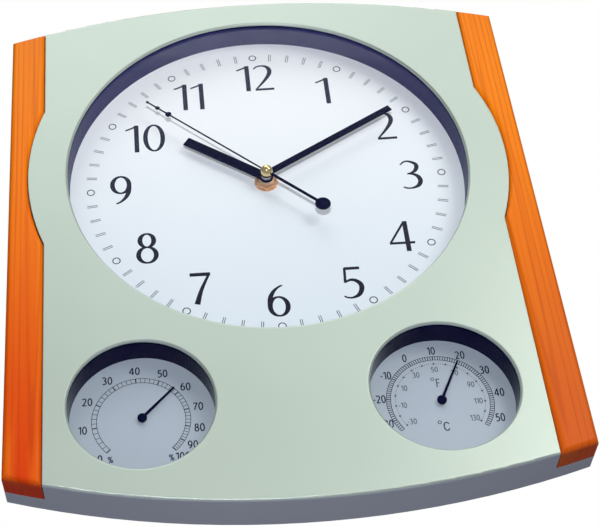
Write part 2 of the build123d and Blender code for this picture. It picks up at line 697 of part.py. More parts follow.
# Wheels of the train, from the step motor to the hour wheel
with BuildPart() as rotor:
    with BuildSketch(face_plane(pivot_rear)):
        with Locations(rotor_axis):
            Circle(TRAIN_ARBOR)
    extrude(amount=rotor_boss_rear + PIVOT_DEPTH - pivot_rear)
    with BuildSketch(face_plane(rotor_layer)):
        with Locations(rotor_axis):
            add(gear_outline(ROTOR_PINION_TEETH, ROTOR_MODULE, rotor_phase))
    extrude(amount=LAYER_PITCH)
    with BuildSketch(face_plane(magnet_rear)):
        with Locations(rotor_axis):
            Circle(ROTOR_RADIUS)
    extrude(amount=ROTOR_THICKNESS)
rotor.part.label = "rotor"
export_step(rotor.part, "parts/rotor.step")

with BuildPart() as intermediate_wheel:
    with BuildSketch(face_plane(pivot_rear)):
        with Locations(intermediate_axis):
            Circle(TRAIN_ARBOR)
    extrude(amount=pivot_front - pivot_rear)
    with BuildSketch(face_plane(rotor_layer)):
        with Locations(intermediate_axis):
            add(gear_outline(INTERMEDIATE_WHEEL_TEETH, ROTOR_MODULE, ROTOR_DIRECTION))
    extrude(amount=WHEEL_THICKNESS)
    with BuildSketch(face_plane(rotor_layer + WHEEL_THICKNESS)):
        with Locations(intermediate_axis):
            add(gear_outline(INTERMEDIATE_PINION_TEETH, SECONDS_MODULE, intermediate_phase))
    extrude(amount=LAYER_PITCH)
intermediate_wheel.part.label = "intermediate_wheel"
export_step(intermediate_wheel.part, "parts/intermediate_wheel.step")

with BuildPart() as seconds_wheel:
    with BuildSketch(face_plane(pivot_rear)):
        Circle(SECOND_ARBOR)
    extrude(amount=cap_middle - pivot_rear)
    with BuildSketch(face_plane(seconds_layer)):
        add(gear_outline(SECONDS_WHEEL_TEETH, SECONDS_MODULE, INTERMEDIATE_DIRECTION))
    extrude(amount=WHEEL_THICKNESS)
    with BuildSketch(face_plane(seconds_layer + WHEEL_THICKNESS)):
        add(gear_outline(SECONDS_PINION_TEETH, THIRD_MODULE, THIRD_DIRECTION))
    extrude(amount=LAYER_PITCH)
seconds_wheel.part.label = "seconds_wheel"
export_step(seconds_wheel.part, "parts/seconds_wheel.step")

with BuildPart() as third_wheel:
    with BuildSketch(face_plane(pivot_rear)):
        with Locations(third_axis):
            Circle(TRAIN_ARBOR)
    extrude(amount=pivot_front - pivot_rear)
    with BuildSketch(face_plane(third_layer)):
        with Locations(third_axis):
            add(gear_outline(THIRD_WHEEL_TEETH, THIRD_MODULE, third_phase))
    extrude(amount=WHEEL_THICKNESS)
    with BuildSketch(face_plane(third_layer + WHEEL_THICKNESS)):
        with Locations(third_axis):
            add(gear_outline(THIRD_PINION_TEETH, centre_module, centre_direction))
    extrude(amount=LAYER_PITCH)
third_wheel.part.label = "third_wheel"
export_step(third_wheel.part, "parts/third_wheel.step")

with BuildPart() as centre_wheel:
    with BuildSketch(face_plane(centre_layer)):
        add(gear_outline(CENTRE_WHEEL_TEETH, centre_module, centre_phase))
    extrude(amount=WHEEL_THICKNESS)
    with BuildSketch(face_plane(centre_layer + WHEEL_THICKNESS)):
        add(gear_outline(CENTRE_PINION_TEETH, MOTION_MODULE, MOTION_DIRECTION))
    extrude(amount=LAYER_PITCH)
    with BuildSketch(face_plane(motion_layer)):
        Circle(MINUTE_PIPE)
    extrude(amount=minute_pipe_front - motion_layer)
    with BuildSketch(face_plane(centre_layer)):
        Circle(SECOND_ARBOR + RUNNING_GAP)
    extrude(amount=minute_pipe_front - centre_layer, mode=Mode.SUBTRACT)
centre_wheel.part.label = "centre_wheel"
export_step(centre_wheel.part, "parts/centre_wheel.step")

with BuildPart() as motion_wheel:
    with BuildSketch(face_plane(motion_layer)):
        with Locations(motion_axis):
            add(gear_outline(MOTION_WHEEL_TEETH, MOTION_MODULE, motion_phase))
    extrude(amount=WHEEL_THICKNESS)
    with BuildSketch(face_plane(motion_layer + WHEEL_THICKNESS)):
        with Locations(motion_axis):
            add(gear_outline(MOTION_PINION_TEETH, hour_module, hour_direction))
    extrude(amount=LAYER_PITCH)
    with BuildSketch(face_plane(motion_layer)):
        with Locations(motion_axis):
            Circle(TRAIN_ARBOR + RUNNING_GAP)
    extrude(amount=LAYER_PITCH + WHEEL_THICKNESS, mode=Mode.SUBTRACT)
motion_wheel.part.label = "motion_wheel"
export_step(motion_wheel.part, "parts/motion_wheel.step")

with BuildPart() as hour_wheel:
    with BuildSketch(face_plane(hour_layer)):
        add(gear_outline(HOUR_WHEEL_TEETH, hour_module, hour_phase))
    extrude(amount=WHEEL_THICKNESS)
    with BuildSketch(face_plane(hour_layer)):
        Circle(HOUR_PIPE)
    extrude(amount=hour_pipe_front - hour_layer)
    with BuildSketch(face_plane(hour_layer)):
        Circle(MINUTE_PIPE + RUNNING_GAP)
    extrude(amount=hour_pipe_front - hour_layer, mode=Mode.SUBTRACT)
hour_wheel.part.label = "hour_wheel"
export_step(hour_wheel.part, "parts/hour_wheel.step")

# Setting knob: notched knob behind the cover, with its pinion in the motion work
with BuildPart() as setting_knob:
    with BuildSketch(face_plane(knob_rear)):
        with Locations(setting_axis):
            Circle(KNOB_RADIUS)
            with PolarLocations(KNOB_RADIUS, KNOB_NOTCHES):
                Circle(KNOB_NOTCH_RADIUS, mode=Mode.SUBTRACT)
    extrude(amount=KNOB_THICKNESS)
    with BuildSketch(face_plane(knob_rear)):
        with Locations(setting_axis):
            Circle(SETTING_ARBOR)
    extrude(amount=pivot_front - knob_rear)
    with BuildSketch(face_plane(motion_layer)):
        with Locations(setting_axis):
            add(gear_outline(SETTING_PINION_TEETH, MOTION_MODULE, setting_phase))
    extrude(amount=WHEEL_THICKNESS)
setting_knob.part.label = "setting_knob"
export_step(setting_knob.part, "parts/setting_knob.step")

# Step motor: stator plate with the coil core, bobbin and winding
with BuildPart() as stator:
    with BuildSketch(face_plane(stator_rear)):
        stator_left = rotor_axis[0] - STATOR_WIDTH / 2
        stator_right = coil_axis_x + CORE_WIDTH / 2
        with Locations(((stator_left + stator_right) / 2, rotor_axis[1])):
            Rectangle(stator_right - stator_left, STATOR_WIDTH)
        with Locations((coil_axis_x, stator_bottom - CORE_LENGTH / 2)):
            Rectangle(CORE_WIDTH, CORE_LENGTH)
        with Locations(rotor_axis):
            Circle(ROTOR_RADIUS + ROTOR_GAP, mode=Mode.SUBTRACT)
    extrude(amount=STATOR_THICKNESS)
stator.part.label = "stator"
export_step(stator.part, "parts/stator.step")

coil_height = (stator_rear + stator_front) / 2
coil_bottom = core_bottom + (CORE_LENGTH - COIL_SPAN) / 2


def coil_plane(rise):
    """Plane across the coil, `rise` above its lower end."""
    return Plane(
        origin=(dial_centre[0] + coil_axis_x, -coil_height, dial_centre[1] + coil_bottom + rise),
        x_dir=(1, 0, 0),
        z_dir=(0, 0, 1),
    )


tube_width = CORE_WIDTH + 2 * (RUNNING_GAP + BOBBIN_WALL)
tube_height = STATOR_THICKNESS + 2 * (RUNNING_GAP + BOBBIN_WALL)
with BuildPart() as coil_bobbin:
    with BuildSketch(coil_plane(0)):
        Rectangle(tube_width, tube_height)
    extrude(amount=COIL_SPAN)
    with BuildSketch(coil_plane(0), coil_plane(COIL_SPAN - BOBBIN_WALL)):
        RectangleRounded(COIL_OUTSIDE, COIL_OUTSIDE, BOBBIN_WALL)
    extrude(amount=BOBBIN_WALL)
    with BuildSketch(coil_plane(0)):
        Rectangle(CORE_WIDTH + 2 * RUNNING_GAP, STATOR_THICKNESS + 2 * RUNNING_GAP)
    extrude(amount=COIL_SPAN, mode=Mode.SUBTRACT)
coil_bobbin.part.label = "coil_bobbin"
export_step(coil_bobbin.part, "parts/coil_bobbin.step")

winding_outside = COIL_OUTSIDE - BOBBIN_WALL
with BuildPart() as coil_winding:
    with BuildSketch(coil_plane(BOBBIN_WALL)):
        RectangleRounded(winding_outside, winding_outside, BOBBIN_WALL)
        Rectangle(tube_width, tube_height, mode=Mode.SUBTRACT)
    extrude(amount=COIL_SPAN - 2 * BOBBIN_WALL)
coil_winding.part.label = "coil_winding"
export_step(coil_winding.part, "parts/coil_winding.step")

# Circuit board on the front plate, with the crystal can lying on it
board_x = -movement_inner + BOARD_WIDTH / 2 + BATTERY_GAP
board_y = (movement_inner + divider_top) / 2
with BuildPart() as circuit_board:
    with BuildSketch(face_plane(train_front - BOARD_THICKNESS)):
        with Locations((board_x, board_y)):
            RectangleRounded(BOARD_WIDTH, BOARD_HEIGHT, BOARD_THICKNESS)
    extrude(amount=BOARD_THICKNESS)
    with BuildSketch(face_plane(train_front - BOARD_THICKNESS)):
        with Locations((board_x, board_y - DOME_DROP)):
            Circle(DOME_RADIUS)
    extrude(amount=-DOME_HEIGHT, taper=DOME_TAPER)
circuit_board.part.label = "circuit_board"
export_step(circuit_board.part, "parts/circuit_board.step")

crystal_height = train_front - BOARD_THICKNESS - CRYSTAL_RADIUS
crystal_plane = Plane(
    origin=(dial_centre[0] + board_x, -crystal_height, dial_centre[1] + board_y + CRYSTAL_LENGTH / 2),
    x_dir=(1, 0, 0),
    z_dir=(0, 0, 1),
)
with BuildPart() as quartz_crystal:
    with BuildSketch(crystal_plane):
        Circle(CRYSTAL_RADIUS)
    extrude(amount=CRYSTAL_LENGTH)
    fillet(quartz_crystal.edges(), radius=CRYSTAL_ROUND)
quartz_crystal.part.label = "quartz_crystal"
export_step(quartz_crystal.part, "parts/quartz_crystal.step")

# Battery lying across its bay, between two sheet contacts
battery_plane = Plane(
    origin=(dial_centre[0] - BATTERY_LENGTH / 2, -battery_axis_height, dial_centre[1] + battery_axis_y),
    x_dir=(0, 1, 0),
    z_dir=(1, 0, 0),
)
with BuildPart() as battery:
    with BuildSketch(battery_plane):
        Circle(BATTERY_RADIUS)
    extrude(amount=BATTERY_LENGTH - BATTERY_NUB)
    fillet(battery.edges(), radius=BATTERY_ROUND)
    with BuildSketch(battery_plane.offset(BATTERY_LENGTH - BATTERY_NUB)):
        Circle(BATTERY_NUB_RADIUS)
    extrude(amount=BATTERY_NUB)
battery.part.label = "battery"
export_step(battery.part, "parts/battery.step")

contact_gap = movement_inner - BATTERY_LENGTH / 2
for side, contact_name in ((1, "positive_contact"), (-1, "negative_contact")):
    contact_x = dial_centre[0] + side * movement_inner
    contact_plane = Plane(
        origin=(contact_x, -battery_axis_height, dial_centre[1] + battery_axis_y),
        x_dir=(0, 1, 0),
        z_dir=(-side, 0, 0),
    )
    with BuildPart() as contact:
        with BuildSketch(contact_plane):
            RectangleRounded(CONTACT_WIDTH, CONTACT_WIDTH, CONTACT_SHEET)
        extrude(amount=CONTACT_SHEET)
        with BuildSketch(contact_plane):
            Circle(CONTACT_BOSS_RADIUS)
        extrude(amount=contact_gap, taper=CONTACT_TAPER)
    contact.part.label = contact_name
    export_step(contact.part, f"parts/{contact_name}.step")

# Hands: flat batons on their pipes, each drawn pointing up in its own turned plane
with BuildPart() as hour_hand:
    with BuildSketch(face_plane(hour_plate, turn=hour_angle)):
        with Locations((0, HOUR_HAND_LENGTH / 2)):
            Rectangle(HOUR_HAND_WIDTH, HOUR_HAND_LENGTH)
        Circle(HOUR_HUB_RADIUS)
        Circle(HOUR_PIPE + SCREW_PLAY, mode=Mode.SUBTRACT)
    extrude(amount=HAND_SHEET)
hour_hand.part.label = "hour_hand"
export_step(hour_hand.part, "parts/hour_hand.step")

with BuildPart() as minute_hand:
    with BuildSketch(face_plane(minute_plate, turn=minute_angle)):
        with Locations((0, MINUTE_HAND_LENGTH / 2)):
            Rectangle(MINUTE_HAND_WIDTH, MINUTE_HAND_LENGTH)
        Circle(MINUTE_HUB_RADIUS)
        Circle(MINUTE_PIPE + SCREW_PLAY, mode=Mode.SUBTRACT)
    extrude(amount=HAND_SHEET)
    collar_rear = hour_pipe_front + HAND_GAP
    with BuildSketch(face_plane(collar_rear)):
        Circle(MINUTE_BUSH_RADIUS)
        Circle(MINUTE_PIPE + SCREW_PLAY, mode=Mode.SUBTRACT)
    extrude(amount=minute_plate - collar_rear)
minute_hand.part.label = "minute_hand"
export_step(minute_hand.part, "parts/minute_hand.step")

with BuildPart() as second_hand:
    with BuildSketch(face_plane(second_plate, turn=second_angle)):
        with Locations((0, SECOND_HAND_LENGTH / 2)):
            Rectangle(SECOND_HAND_WIDTH, SECOND_HAND_LENGTH)
        with Locations((0, -SECOND_TAIL_REACH / 2)):
            Rectangle(SECOND_TAIL_WIDTH, SECOND_TAIL_REACH)
        with Locations((0, CAP_RADIUS / 2)):
            Rectangle(SECOND_TAIL_WIDTH, CAP_RADIUS)
        with Locations((0, -SECOND_TAIL_REACH)):
            Circle(SECOND_TAIL_RADIUS)
        with Locations((0, SECOND_HAND_LENGTH)):
            Circle(SECOND_DOT_RADIUS)
        for setback, radius in SECOND_DISCS:
            with Locations((0, SECOND_HAND_LENGTH - setback)):
                Circle(radius)
        Circle(SECOND_ARBOR + SCREW_PLAY, mode=Mode.SUBTRACT)
    extrude(amount=SECOND_HAND_SHEET)
second_hand.part.label = "second_hand"
export_step(second_hand.part, "parts/second_hand.step")

cap_bore = SECOND_ARBOR + SCREW_PLAY
cap_rim = sqrt(CAP_RADIUS**2 - CAP_FOOT**2)
cap_profile = Plane(
    origin=(dial_centre[0], -cap_middle, dial_centre[1]), x_dir=(1, 0, 0), z_dir=(0, 0, -1)
)
with BuildPart() as second_hand_cap:
    with BuildSketch(cap_profile):
        with BuildLine():
            Line((cap_bore, -CAP_FOOT), (cap_rim, -CAP_FOOT))
            ThreePointArc((cap_rim, -CAP_FOOT), (CAP_RADIUS, 0), (0, CAP_RADIUS))
            Polyline((0, CAP_RADIUS), (0, SCREW_PLAY), (cap_bore, SCREW_PLAY), (cap_bore, -CAP_FOOT))
        make_face()
    revolve(axis=Axis(cap_profile.origin, (0, -1, 0)))
    with BuildSketch(face_plane(second_plate - SCREW_PLAY, turn=second_angle)):
        Rectangle(SECOND_TAIL_WIDTH + 2 * SCREW_PLAY, 3 * CAP_RADIUS)
    extrude(amount=SECOND_HAND_SHEET + 2 * SCREW_PLAY, mode=Mode.SUBTRACT)
second_hand_cap.part.label = "second_hand_cap"
export_step(second_hand_cap.part, "parts/second_hand_cap.step")

# Gauges: printed dial, pointer on its arbor, sensing coil, bridge and rear cup
gauge_sets = (
    ("hygrometer", hygrometer_centre, HYGROMETER_REST, HYGROMETER_POINTER_LENGTH, CUP_VENTS),
    ("thermometer", thermometer_centre, THERMOMETER_REST, THERMOMETER_POINTER_LENGTH, 0),
)
for gauge_name, centre, rest, pointer_length, vents in gauge_sets:
    with BuildPart() as gauge_dial:
        with BuildSketch(face_plane(gauge_rear, centre)):
            Circle(gauge_seat - LENS_GAP)
            Circle(GAUGE_ARBOR_HOLE, mode=Mode.SUBTRACT)
        extrude(amount=GAUGE_DIAL_THICKNESS)
    gauge_dial.part.label = f"{gauge_name}_dial"
    export_step(gauge_dial.part, f"parts/{gauge_name}_dial.step")

    with BuildPart() as pointer:
        with BuildSketch(face_plane(pointer_plate, centre, rest)):
            with BuildLine():
                Polyline(
                    (-POINTER_ROOT / 2, 0),
                    (POINTER_ROOT / 2, 0),
                    (POINTER_TIP / 2, pointer_length),
                    (-POINTER_TIP / 2, pointer_length),
                    close=True,
                )
            make_face()
            Circle(POINTER_HUB)
        extrude(amount=POINTER_SHEET)
        with BuildSketch(face_plane(pointer_plate + POINTER_SHEET, centre)):
            Circle(POINTER_HUB)
        extrude(amount=POINTER_SHEET, taper=POINTER_TAPER)
        with BuildSketch(face_plane(pointer_plate, centre)):
            Circle(GAUGE_ARBOR + SCREW_PLAY)
        extrude(amount=POINTER_SHEET, mode=Mode.SUBTRACT)
    pointer.part.label = f"{gauge_name}_pointer"
    export_step(pointer.part, f"parts/{gauge_name}_pointer.step")

    with BuildPart() as gauge_arbor:
        with BuildSketch(face_plane(bridge_rear, centre)):
            Circle(GAUGE_ARBOR)
        extrude(amount=pointer_plate + POINTER_SHEET - bridge_rear)
        with BuildSketch(face_plane(coil_rear, centre)):
            Circle(COLLET_RADIUS)
        extrude(amount=COIL_HEIGHT)
    gauge_arbor.part.label = f"{gauge_name}_arbor"
    export_step(gauge_arbor.part, f"parts/{gauge_name}_arbor.step")

    # Each half turn of the coil is an arc, with two centres in turn and a growing radius.
    # Its outer end is straight and lies against a foot of the bridge.
    with BuildPart() as gauge_coil:
        with BuildSketch(face_plane(coil_rear, centre)):
            with BuildLine():
                for edge_offset in (-COIL_STRIP / 2, COIL_STRIP / 2):
                    for turn in range(COIL_HALF_TURNS):
                        middle = COIL_STEP * (turn % 2)
                        sweep_side = 1 - 2 * (turn % 2)
                        radius = coil_start + COIL_STEP * turn + edge_offset
                        ThreePointArc(
                            (middle + sweep_side * radius, 0),
                            (middle, sweep_side * radius),
                            (middle - sweep_side * radius, 0),
                        )
                Line((coil_start - COIL_STRIP / 2, 0), (coil_start + COIL_STRIP / 2, 0))
                Polyline(
                    (coil_end - COIL_STRIP / 2, 0),
                    (coil_end - COIL_STRIP / 2, FOOT_HALF),
                    (coil_end + COIL_STRIP / 2, FOOT_HALF),
                    (coil_end + COIL_STRIP / 2, 0),
                )
            make_face()
        extrude(amount=COIL_HEIGHT)
    gauge_coil.part.label = f"{gauge_name}_coil"
    export_step(gauge_coil.part, f"parts/{gauge_name}_coil.step")

    with BuildPart() as gauge_bridge:
        with BuildSketch(face_plane(bridge_rear, centre)):
            SlotOverall(2 * foot_reach + BRIDGE_WIDTH, BRIDGE_WIDTH)
            Circle(GAUGE_ARBOR + RUNNING_GAP, mode=Mode.SUBTRACT)
        extrude(amount=BRIDGE_SHEET)
        with BuildSketch(face_plane(bridge_front, centre)):
            with Locations((-foot_reach, 0), (foot_reach, 0)):
                Rectangle(2 * FOOT_HALF, 2 * FOOT_HALF)
        extrude(amount=gauge_rear - bridge_front)
    gauge_bridge.part.label = f"{gauge_name}_bridge"
    export_step(gauge_bridge.part, f"parts/{gauge_name}_bridge.step")

    with BuildPart() as gauge_cup:
        with BuildSketch(face_plane(cup_rear, centre)):
            Circle(cup_radius)
        extrude(amount=CUP_DEPTH)
        with BuildSketch(face_plane(cup_flange_rear, centre)):
            Circle(gauge_seat - LENS_GAP)
        extrude(amount=CUP_SHEET)
        with BuildSketch(face_plane(cup_rear + CUP_SHEET, centre)):
            Circle(cup_radius - CUP_SHEET)
        extrude(amount=CUP_DEPTH - CUP_SHEET, mode=Mode.SUBTRACT)
        if vents:
            with BuildSketch(face_plane(cup_rear, centre)):
                with PolarLocations(cup_radius / 2, vents):
                    Circle(CUP_VENT_RADIUS)
            extrude(amount=CUP_SHEET, mode=Mode.SUBTRACT)
    gauge_cup.part.label = f"{gauge_name}_cup"
    export_step(gauge_cup.part, f"parts/{gauge_name}_cup.step")

# Clips that hold the gauge cups against their wells, and their screws
clip_rear = cup_flange_rear - CLIP_THICKNESS
with BuildPart() as gauge_clips:
    for middle in gauge_middles:
        for direction in GAUGE_SCREW_DIRECTIONS:
            place = polar(gauge_screw_radius, direction, middle)
            clip_middle = polar(gauge_screw_radius - CLIP_SHIFT, direction, middle)
            with BuildSketch(face_plane(clip_rear)):
                with Locations(Location((clip_middle[0], clip_middle[1], 0), (0, 0, direction))):
                    RectangleRounded(CLIP_LENGTH, CLIP_WIDTH, CLIP_THICKNESS)
                with Locations(place):
                    Circle(SCREW_RADIUS + SCREW_CLEARANCE, mode=Mode.SUBTRACT)
            extrude(amount=CLIP_THICKNESS)
gauge_clips.part.label = "gauge_clips"
export_step(gauge_clips.part, "parts/gauge_clips.step")

with BuildPart() as gauge_clip_screws:
    add(screw_group(gauge_screw_places, clip_rear, CLIP_THICKNESS + SCREW_BITE))
gauge_clip_screws.part.label = "gauge_clip_screws"
export_step(gauge_clip_screws.part, "parts/gauge_clip_screws.step")

# Back cover: flange in the bezel's rear, and an inset box that stands on the wall
opening_size = MOVEMENT_SIZE + 2 * OPENING_MARGIN
keyhole = (0, -dial_centre[1])
with BuildPart() as back_cover:
    with BuildSketch(face_plane(0)) as box_outside:
        add(case_outline(COVER_INSET))
        fillet(box_outside.vertices(), radius=COVER_CORNER)
    extrude(amount=flange_front)
    with BuildSketch(face_plane(bezel_rear)):
        add(case_outline(BEZEL_WALL + COVER_GAP))
        with Locations(*case_screw_places):
            Circle(SCREW_RADIUS + SCREW_CLEARANCE, mode=Mode.SUBTRACT)
    extrude(amount=COVER_FLANGE)
    with BuildSketch(face_plane(COVER_BACK)) as box_inside:
        add(case_outline(COVER_INSET + COVER_WALL))
        fillet(box_inside.vertices(), radius=COVER_CORNER - COVER_WALL)
    extrude(amount=flange_front - COVER_BACK, mode=Mode.SUBTRACT)
    fillet(back_cover.faces().sort_by(Axis.Y)[-1].outer_wire().edges(), radius=COVER_BACK / 2)
    with BuildSketch(face_plane(0)):
        RectangleRounded(opening_size, opening_size, MOVEMENT_CORNER + OPENING_MARGIN)
        with Locations(keyhole):
            Circle(KEYHOLE_RADIUS)
        with Locations((keyhole[0], keyhole[1] + KEYHOLE_RISE / 2)):
            Rectangle(KEYHOLE_SLOT, KEYHOLE_RISE)
        with Locations((keyhole[0], keyhole[1] + KEYHOLE_RISE)):
            Circle(KEYHOLE_SLOT / 2)
        with Locations(*gauge_middles):
            with GridLocations(VENT_LENGTH, VENT_PITCH, 1, VENT_COUNT):
                SlotOverall(VENT_LENGTH, VENT_WIDTH)
    extrude(amount=COVER_BACK, mode=Mode.SUBTRACT)
back_cover.part.label = "back_cover"
export_step(back_cover.part, "parts/back_cover.step")

with BuildPart() as case_screws:
    add(screw_group(case_screw_places, bezel_rear, COVER_FLANGE + SCREW_BITE))
case_screws.part.label = "case_screws"
export_step(case_screws.part, "parts/case_screws.step")
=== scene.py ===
import math

import bmesh
import bpy
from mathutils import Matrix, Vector


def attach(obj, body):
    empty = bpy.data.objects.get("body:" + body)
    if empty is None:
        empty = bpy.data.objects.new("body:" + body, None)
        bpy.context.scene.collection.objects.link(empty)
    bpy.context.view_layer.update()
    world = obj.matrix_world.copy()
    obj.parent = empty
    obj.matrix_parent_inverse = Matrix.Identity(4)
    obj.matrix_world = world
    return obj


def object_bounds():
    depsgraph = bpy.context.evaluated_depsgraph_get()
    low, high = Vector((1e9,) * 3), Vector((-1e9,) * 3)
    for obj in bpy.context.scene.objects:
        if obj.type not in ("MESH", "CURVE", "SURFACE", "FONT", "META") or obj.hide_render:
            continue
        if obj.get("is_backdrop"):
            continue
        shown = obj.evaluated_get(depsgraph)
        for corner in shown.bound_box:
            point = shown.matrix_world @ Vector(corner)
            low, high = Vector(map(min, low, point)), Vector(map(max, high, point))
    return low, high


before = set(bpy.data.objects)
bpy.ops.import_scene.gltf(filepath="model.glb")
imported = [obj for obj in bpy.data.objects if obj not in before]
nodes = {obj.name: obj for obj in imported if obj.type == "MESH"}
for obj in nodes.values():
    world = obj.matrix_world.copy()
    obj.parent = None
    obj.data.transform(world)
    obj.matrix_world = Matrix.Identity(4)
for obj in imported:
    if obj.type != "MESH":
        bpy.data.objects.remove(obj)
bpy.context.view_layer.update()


# Back cover
# A shallow tray moulded in dark grey ABS with a spark-eroded skin. It drops into the rear of the front
# moulding and carries the keyhole, the vents of the two gauges and the opening for the movement.
class Strand:
    """A shader socket that sums can be written with: each operator adds a Math node."""

    def __init__(self, finish, socket):
        self.finish = finish
        self.socket = socket

    def work(self, operation, first, second):
        return self.finish.node("Math", {"operation": operation}, {0: first, 1: second})

    def __add__(self, other):
        return self.work("ADD", self, other)

    __radd__ = __add__

    def __sub__(self, other):
        return self.work("SUBTRACT", self, other)

    def __rsub__(self, other):
        return self.work("SUBTRACT", other, self)

    def __mul__(self, other):
        return self.work("MULTIPLY", self, other)

    __rmul__ = __mul__


class Finish:
    """A procedural material: its nodes come from node(), and wear() lays it on pieces."""

    def __init__(self, name):
        self.material = bpy.data.materials.new(name)
        self.material.use_nodes = True
        self.tree = self.material.node_tree
        self.shader = self.tree.nodes["Principled BSDF"]

    def node(self, kind, settings=None, sockets=None, out=0):
        made = self.tree.nodes.new("ShaderNode" + kind)
        for name, value in (settings or {}).items():
            setattr(made, name, value)
        self.join(made, sockets or {})
        return Strand(self, made.outputs[out])

    def join(self, made, sockets):
        for name, value in sockets.items():
            if isinstance(value, Strand):
                self.tree.links.new(value.socket, made.inputs[name])
            else:
                made.inputs[name].default_value = value

    def spot(self):
        return self.node("TexCoord", out="Object")

    def along(self, axis):
        return self.node("SeparateXYZ", None, {0: self.spot()}, out=axis)

    def grain(self, scale, detail=2.0, stretch=(1, 1, 1)):
        drawn = self.node("VectorMath", {"operation": "MULTIPLY"}, {0: self.spot(), 1: stretch})
        return self.node("TexNoise", None, {"Vector": drawn, "Scale": scale, "Detail": detail})

    def ease(self, value, low, high):
        """0 below low, 1 above high, a soft step between."""
        ends = {"Value": value, "From Min": low, "From Max": high}
        return self.node("MapRange", {"interpolation_type": "SMOOTHSTEP"}, ends)

    def mix(self, share, first, second):
        return self.node("Mix", {"data_type": "RGBA"}, {0: share, 6: first, 7: second}, out=2)

    def bump(self, height, depth):
        return self.node("Bump", None, {"Height": height, "Distance": depth})

    def wear(self, sockets, *pieces):
        self.join(self.shader, sockets)
        for piece in pieces:
            piece.data.materials.clear()
            piece.data.materials.append(self.material)


def tone(*levels):
    """A colour as given on screen, 0 to 255, as the linear colour that a shader takes."""
    shares = [level / 255 for level in levels]
    return (*[s / 12.92 if s < 0.04045 else ((s + 0.055) / 1.055) ** 2.4 for s in shares], 1)


eroded = Finish("eroded_grey_plastic")
pits = eroded.grain(1500, 3)
handling = eroded.grain(18, 3)
eroded.wear(
    {
        "Base Color": eroded.mix(handling, tone(43, 44, 48), tone(60, 61, 65)),
        "Roughness": 0.42 + 0.22 * pits,
        "Normal": eroded.bump(pits, 0.0001),
    },
    nodes["back_cover"],
)


# Screws and clips
# Cross-recess pan-head screws and spring clips of zinc plated steel. The screws cut their own thread in
# the bosses of the front moulding and hold the cover, the strips, the dial and the gauges.
zinc = Finish("zinc_plated_steel")
plating = zinc.grain(420, 4)
blush = zinc.grain(90, 2)
zinc.wear(
    {
        "Base Color": zinc.mix(blush, tone(196, 199, 206), tone(214, 210, 198)),
        "Metallic": 1.0,
        "Roughness": 0.22 + 0.2 * plating,
        "Normal": zinc.bump(plating, 0.00002),
    },
    nodes["case_screws"],
    nodes["side_strip_screws"],
    nodes["dial_screws"],
    nodes["gauge_clips"],
    nodes["gauge_clip_screws"],
    nodes["hygrometer_arbor"],
    nodes["thermometer_arbor"],
)


# Front moulding
# The curved front that everything is fixed in, moulded in ABS and sprayed with a satin silver lacquer
# that has a faint green cast. Its fine metal flake makes the small changes of gloss.
lacquer = Finish("satin_silver_lacquer")
flake = lacquer.grain(4200, 1)
drift = lacquer.grain(11, 2)
rounding = lacquer.node("Bevel", {"samples": 12}, {"Radius": 0.0006})
lacquer.wear(
    {
        "Base Color": lacquer.mix(
            0.65 * drift + 0.35 * flake, tone(184, 198, 185), tone(205, 217, 205)
        ),
        "Metallic": 0.50 + 0.16 * flake,
        "Roughness": 0.35 + 0.13 * flake,
        "Normal": lacquer.node("Bump", None, {"Height": flake, "Distance": 0.000012, "Normal": rounding}),
    },
    nodes["front_bezel"],
)


# Side strips
# Two strips of straight-grained wood, stained orange and lacquered to a high gloss. Each is let into a
# rebate along one side of the front moulding and screwed from behind.
stained = Finish("orange_lacquered_wood")
fibre = stained.grain(1, 4, (900, 900, 12))
figure = stained.grain(1, 3, (90, 90, 7))
height = stained.along("Z")
across = stained.node("Math", {"operation": "ABSOLUTE"}, {0: stained.along("X")})
foot = stained.ease(-1 * height, 0.25, 0.30)
heart = stained.node("CombineXYZ", None, {"X": across - 0.117, "Z": 0.012 * foot + 0.015 * (0.05 - height)})
growth = stained.node(
    "TexWave",
    {"wave_type": "RINGS", "rings_direction": "Y"},
    {"Vector": heart, "Scale": 115.0, "Distortion": 2.0, "Detail": 2.0, "Detail Scale": 0.8},
)
# The stain is painted darker towards the foot of each strip and lighter towards its top: painted shade
# where the light falls off downwards. The right strip's foot is given a browner tone than the left's.
right = stained.ease(stained.along("X"), -0.05, 0.05)
shaded_foot = stained.mix(right, tone(206, 54, 0), tone(200, 84, 14))
stain_and_shade = stained.mix(stained.ease(height, -0.29, 0.0), shaded_foot, tone(255, 136, 8))
stain_and_shade = stained.mix(0.3 * stained.ease(fibre, 0.4, 0.7), stain_and_shade, tone(206, 62, 0))
stain_and_shade = stained.mix(0.25 * stained.ease(figure, 0.45, 0.75), stain_and_shade, tone(255, 164, 30))
stain_and_shade = stained.mix(0.22 * stained.ease(growth, 0.8, 0.99), stain_and_shade, tone(150, 40, 0))
stained.wear(
    {
        "Base Color": stain_and_shade,
        "Roughness": 0.4 + 0.2 * fibre,
        "Specular IOR Level": 0.06,
        "Coat Weight": 0.14 + 0.12 * fibre,
        "Coat Roughness": 0.3,
        "Normal": stained.bump(fibre, 0.00002),
    },
    nodes["left_side_strip"],
    nodes["right_side_strip"],
)


# Windows
# Three flat discs of clear styrene pressed into the front from behind. They are almost unseen head on
# and pick up light at a low angle.
clear = Finish("clear_styrene")
smear = clear.grain(35, 3)
glint = clear.node("Fresnel", None, {"IOR": 1.4})
clear.wear(
    {
        "Base Color": clear.mix(smear, tone(236, 240, 246), tone(248, 250, 252)),
        "Metallic": 1.0,
        "Roughness": 0.02 + 0.03 * smear,
        "Alpha": glint * (0.03 + 0.03 * smear),
    },
    nodes["dial_lens"],
    nodes["hygrometer_lens"],
    nodes["thermometer_lens"],
)


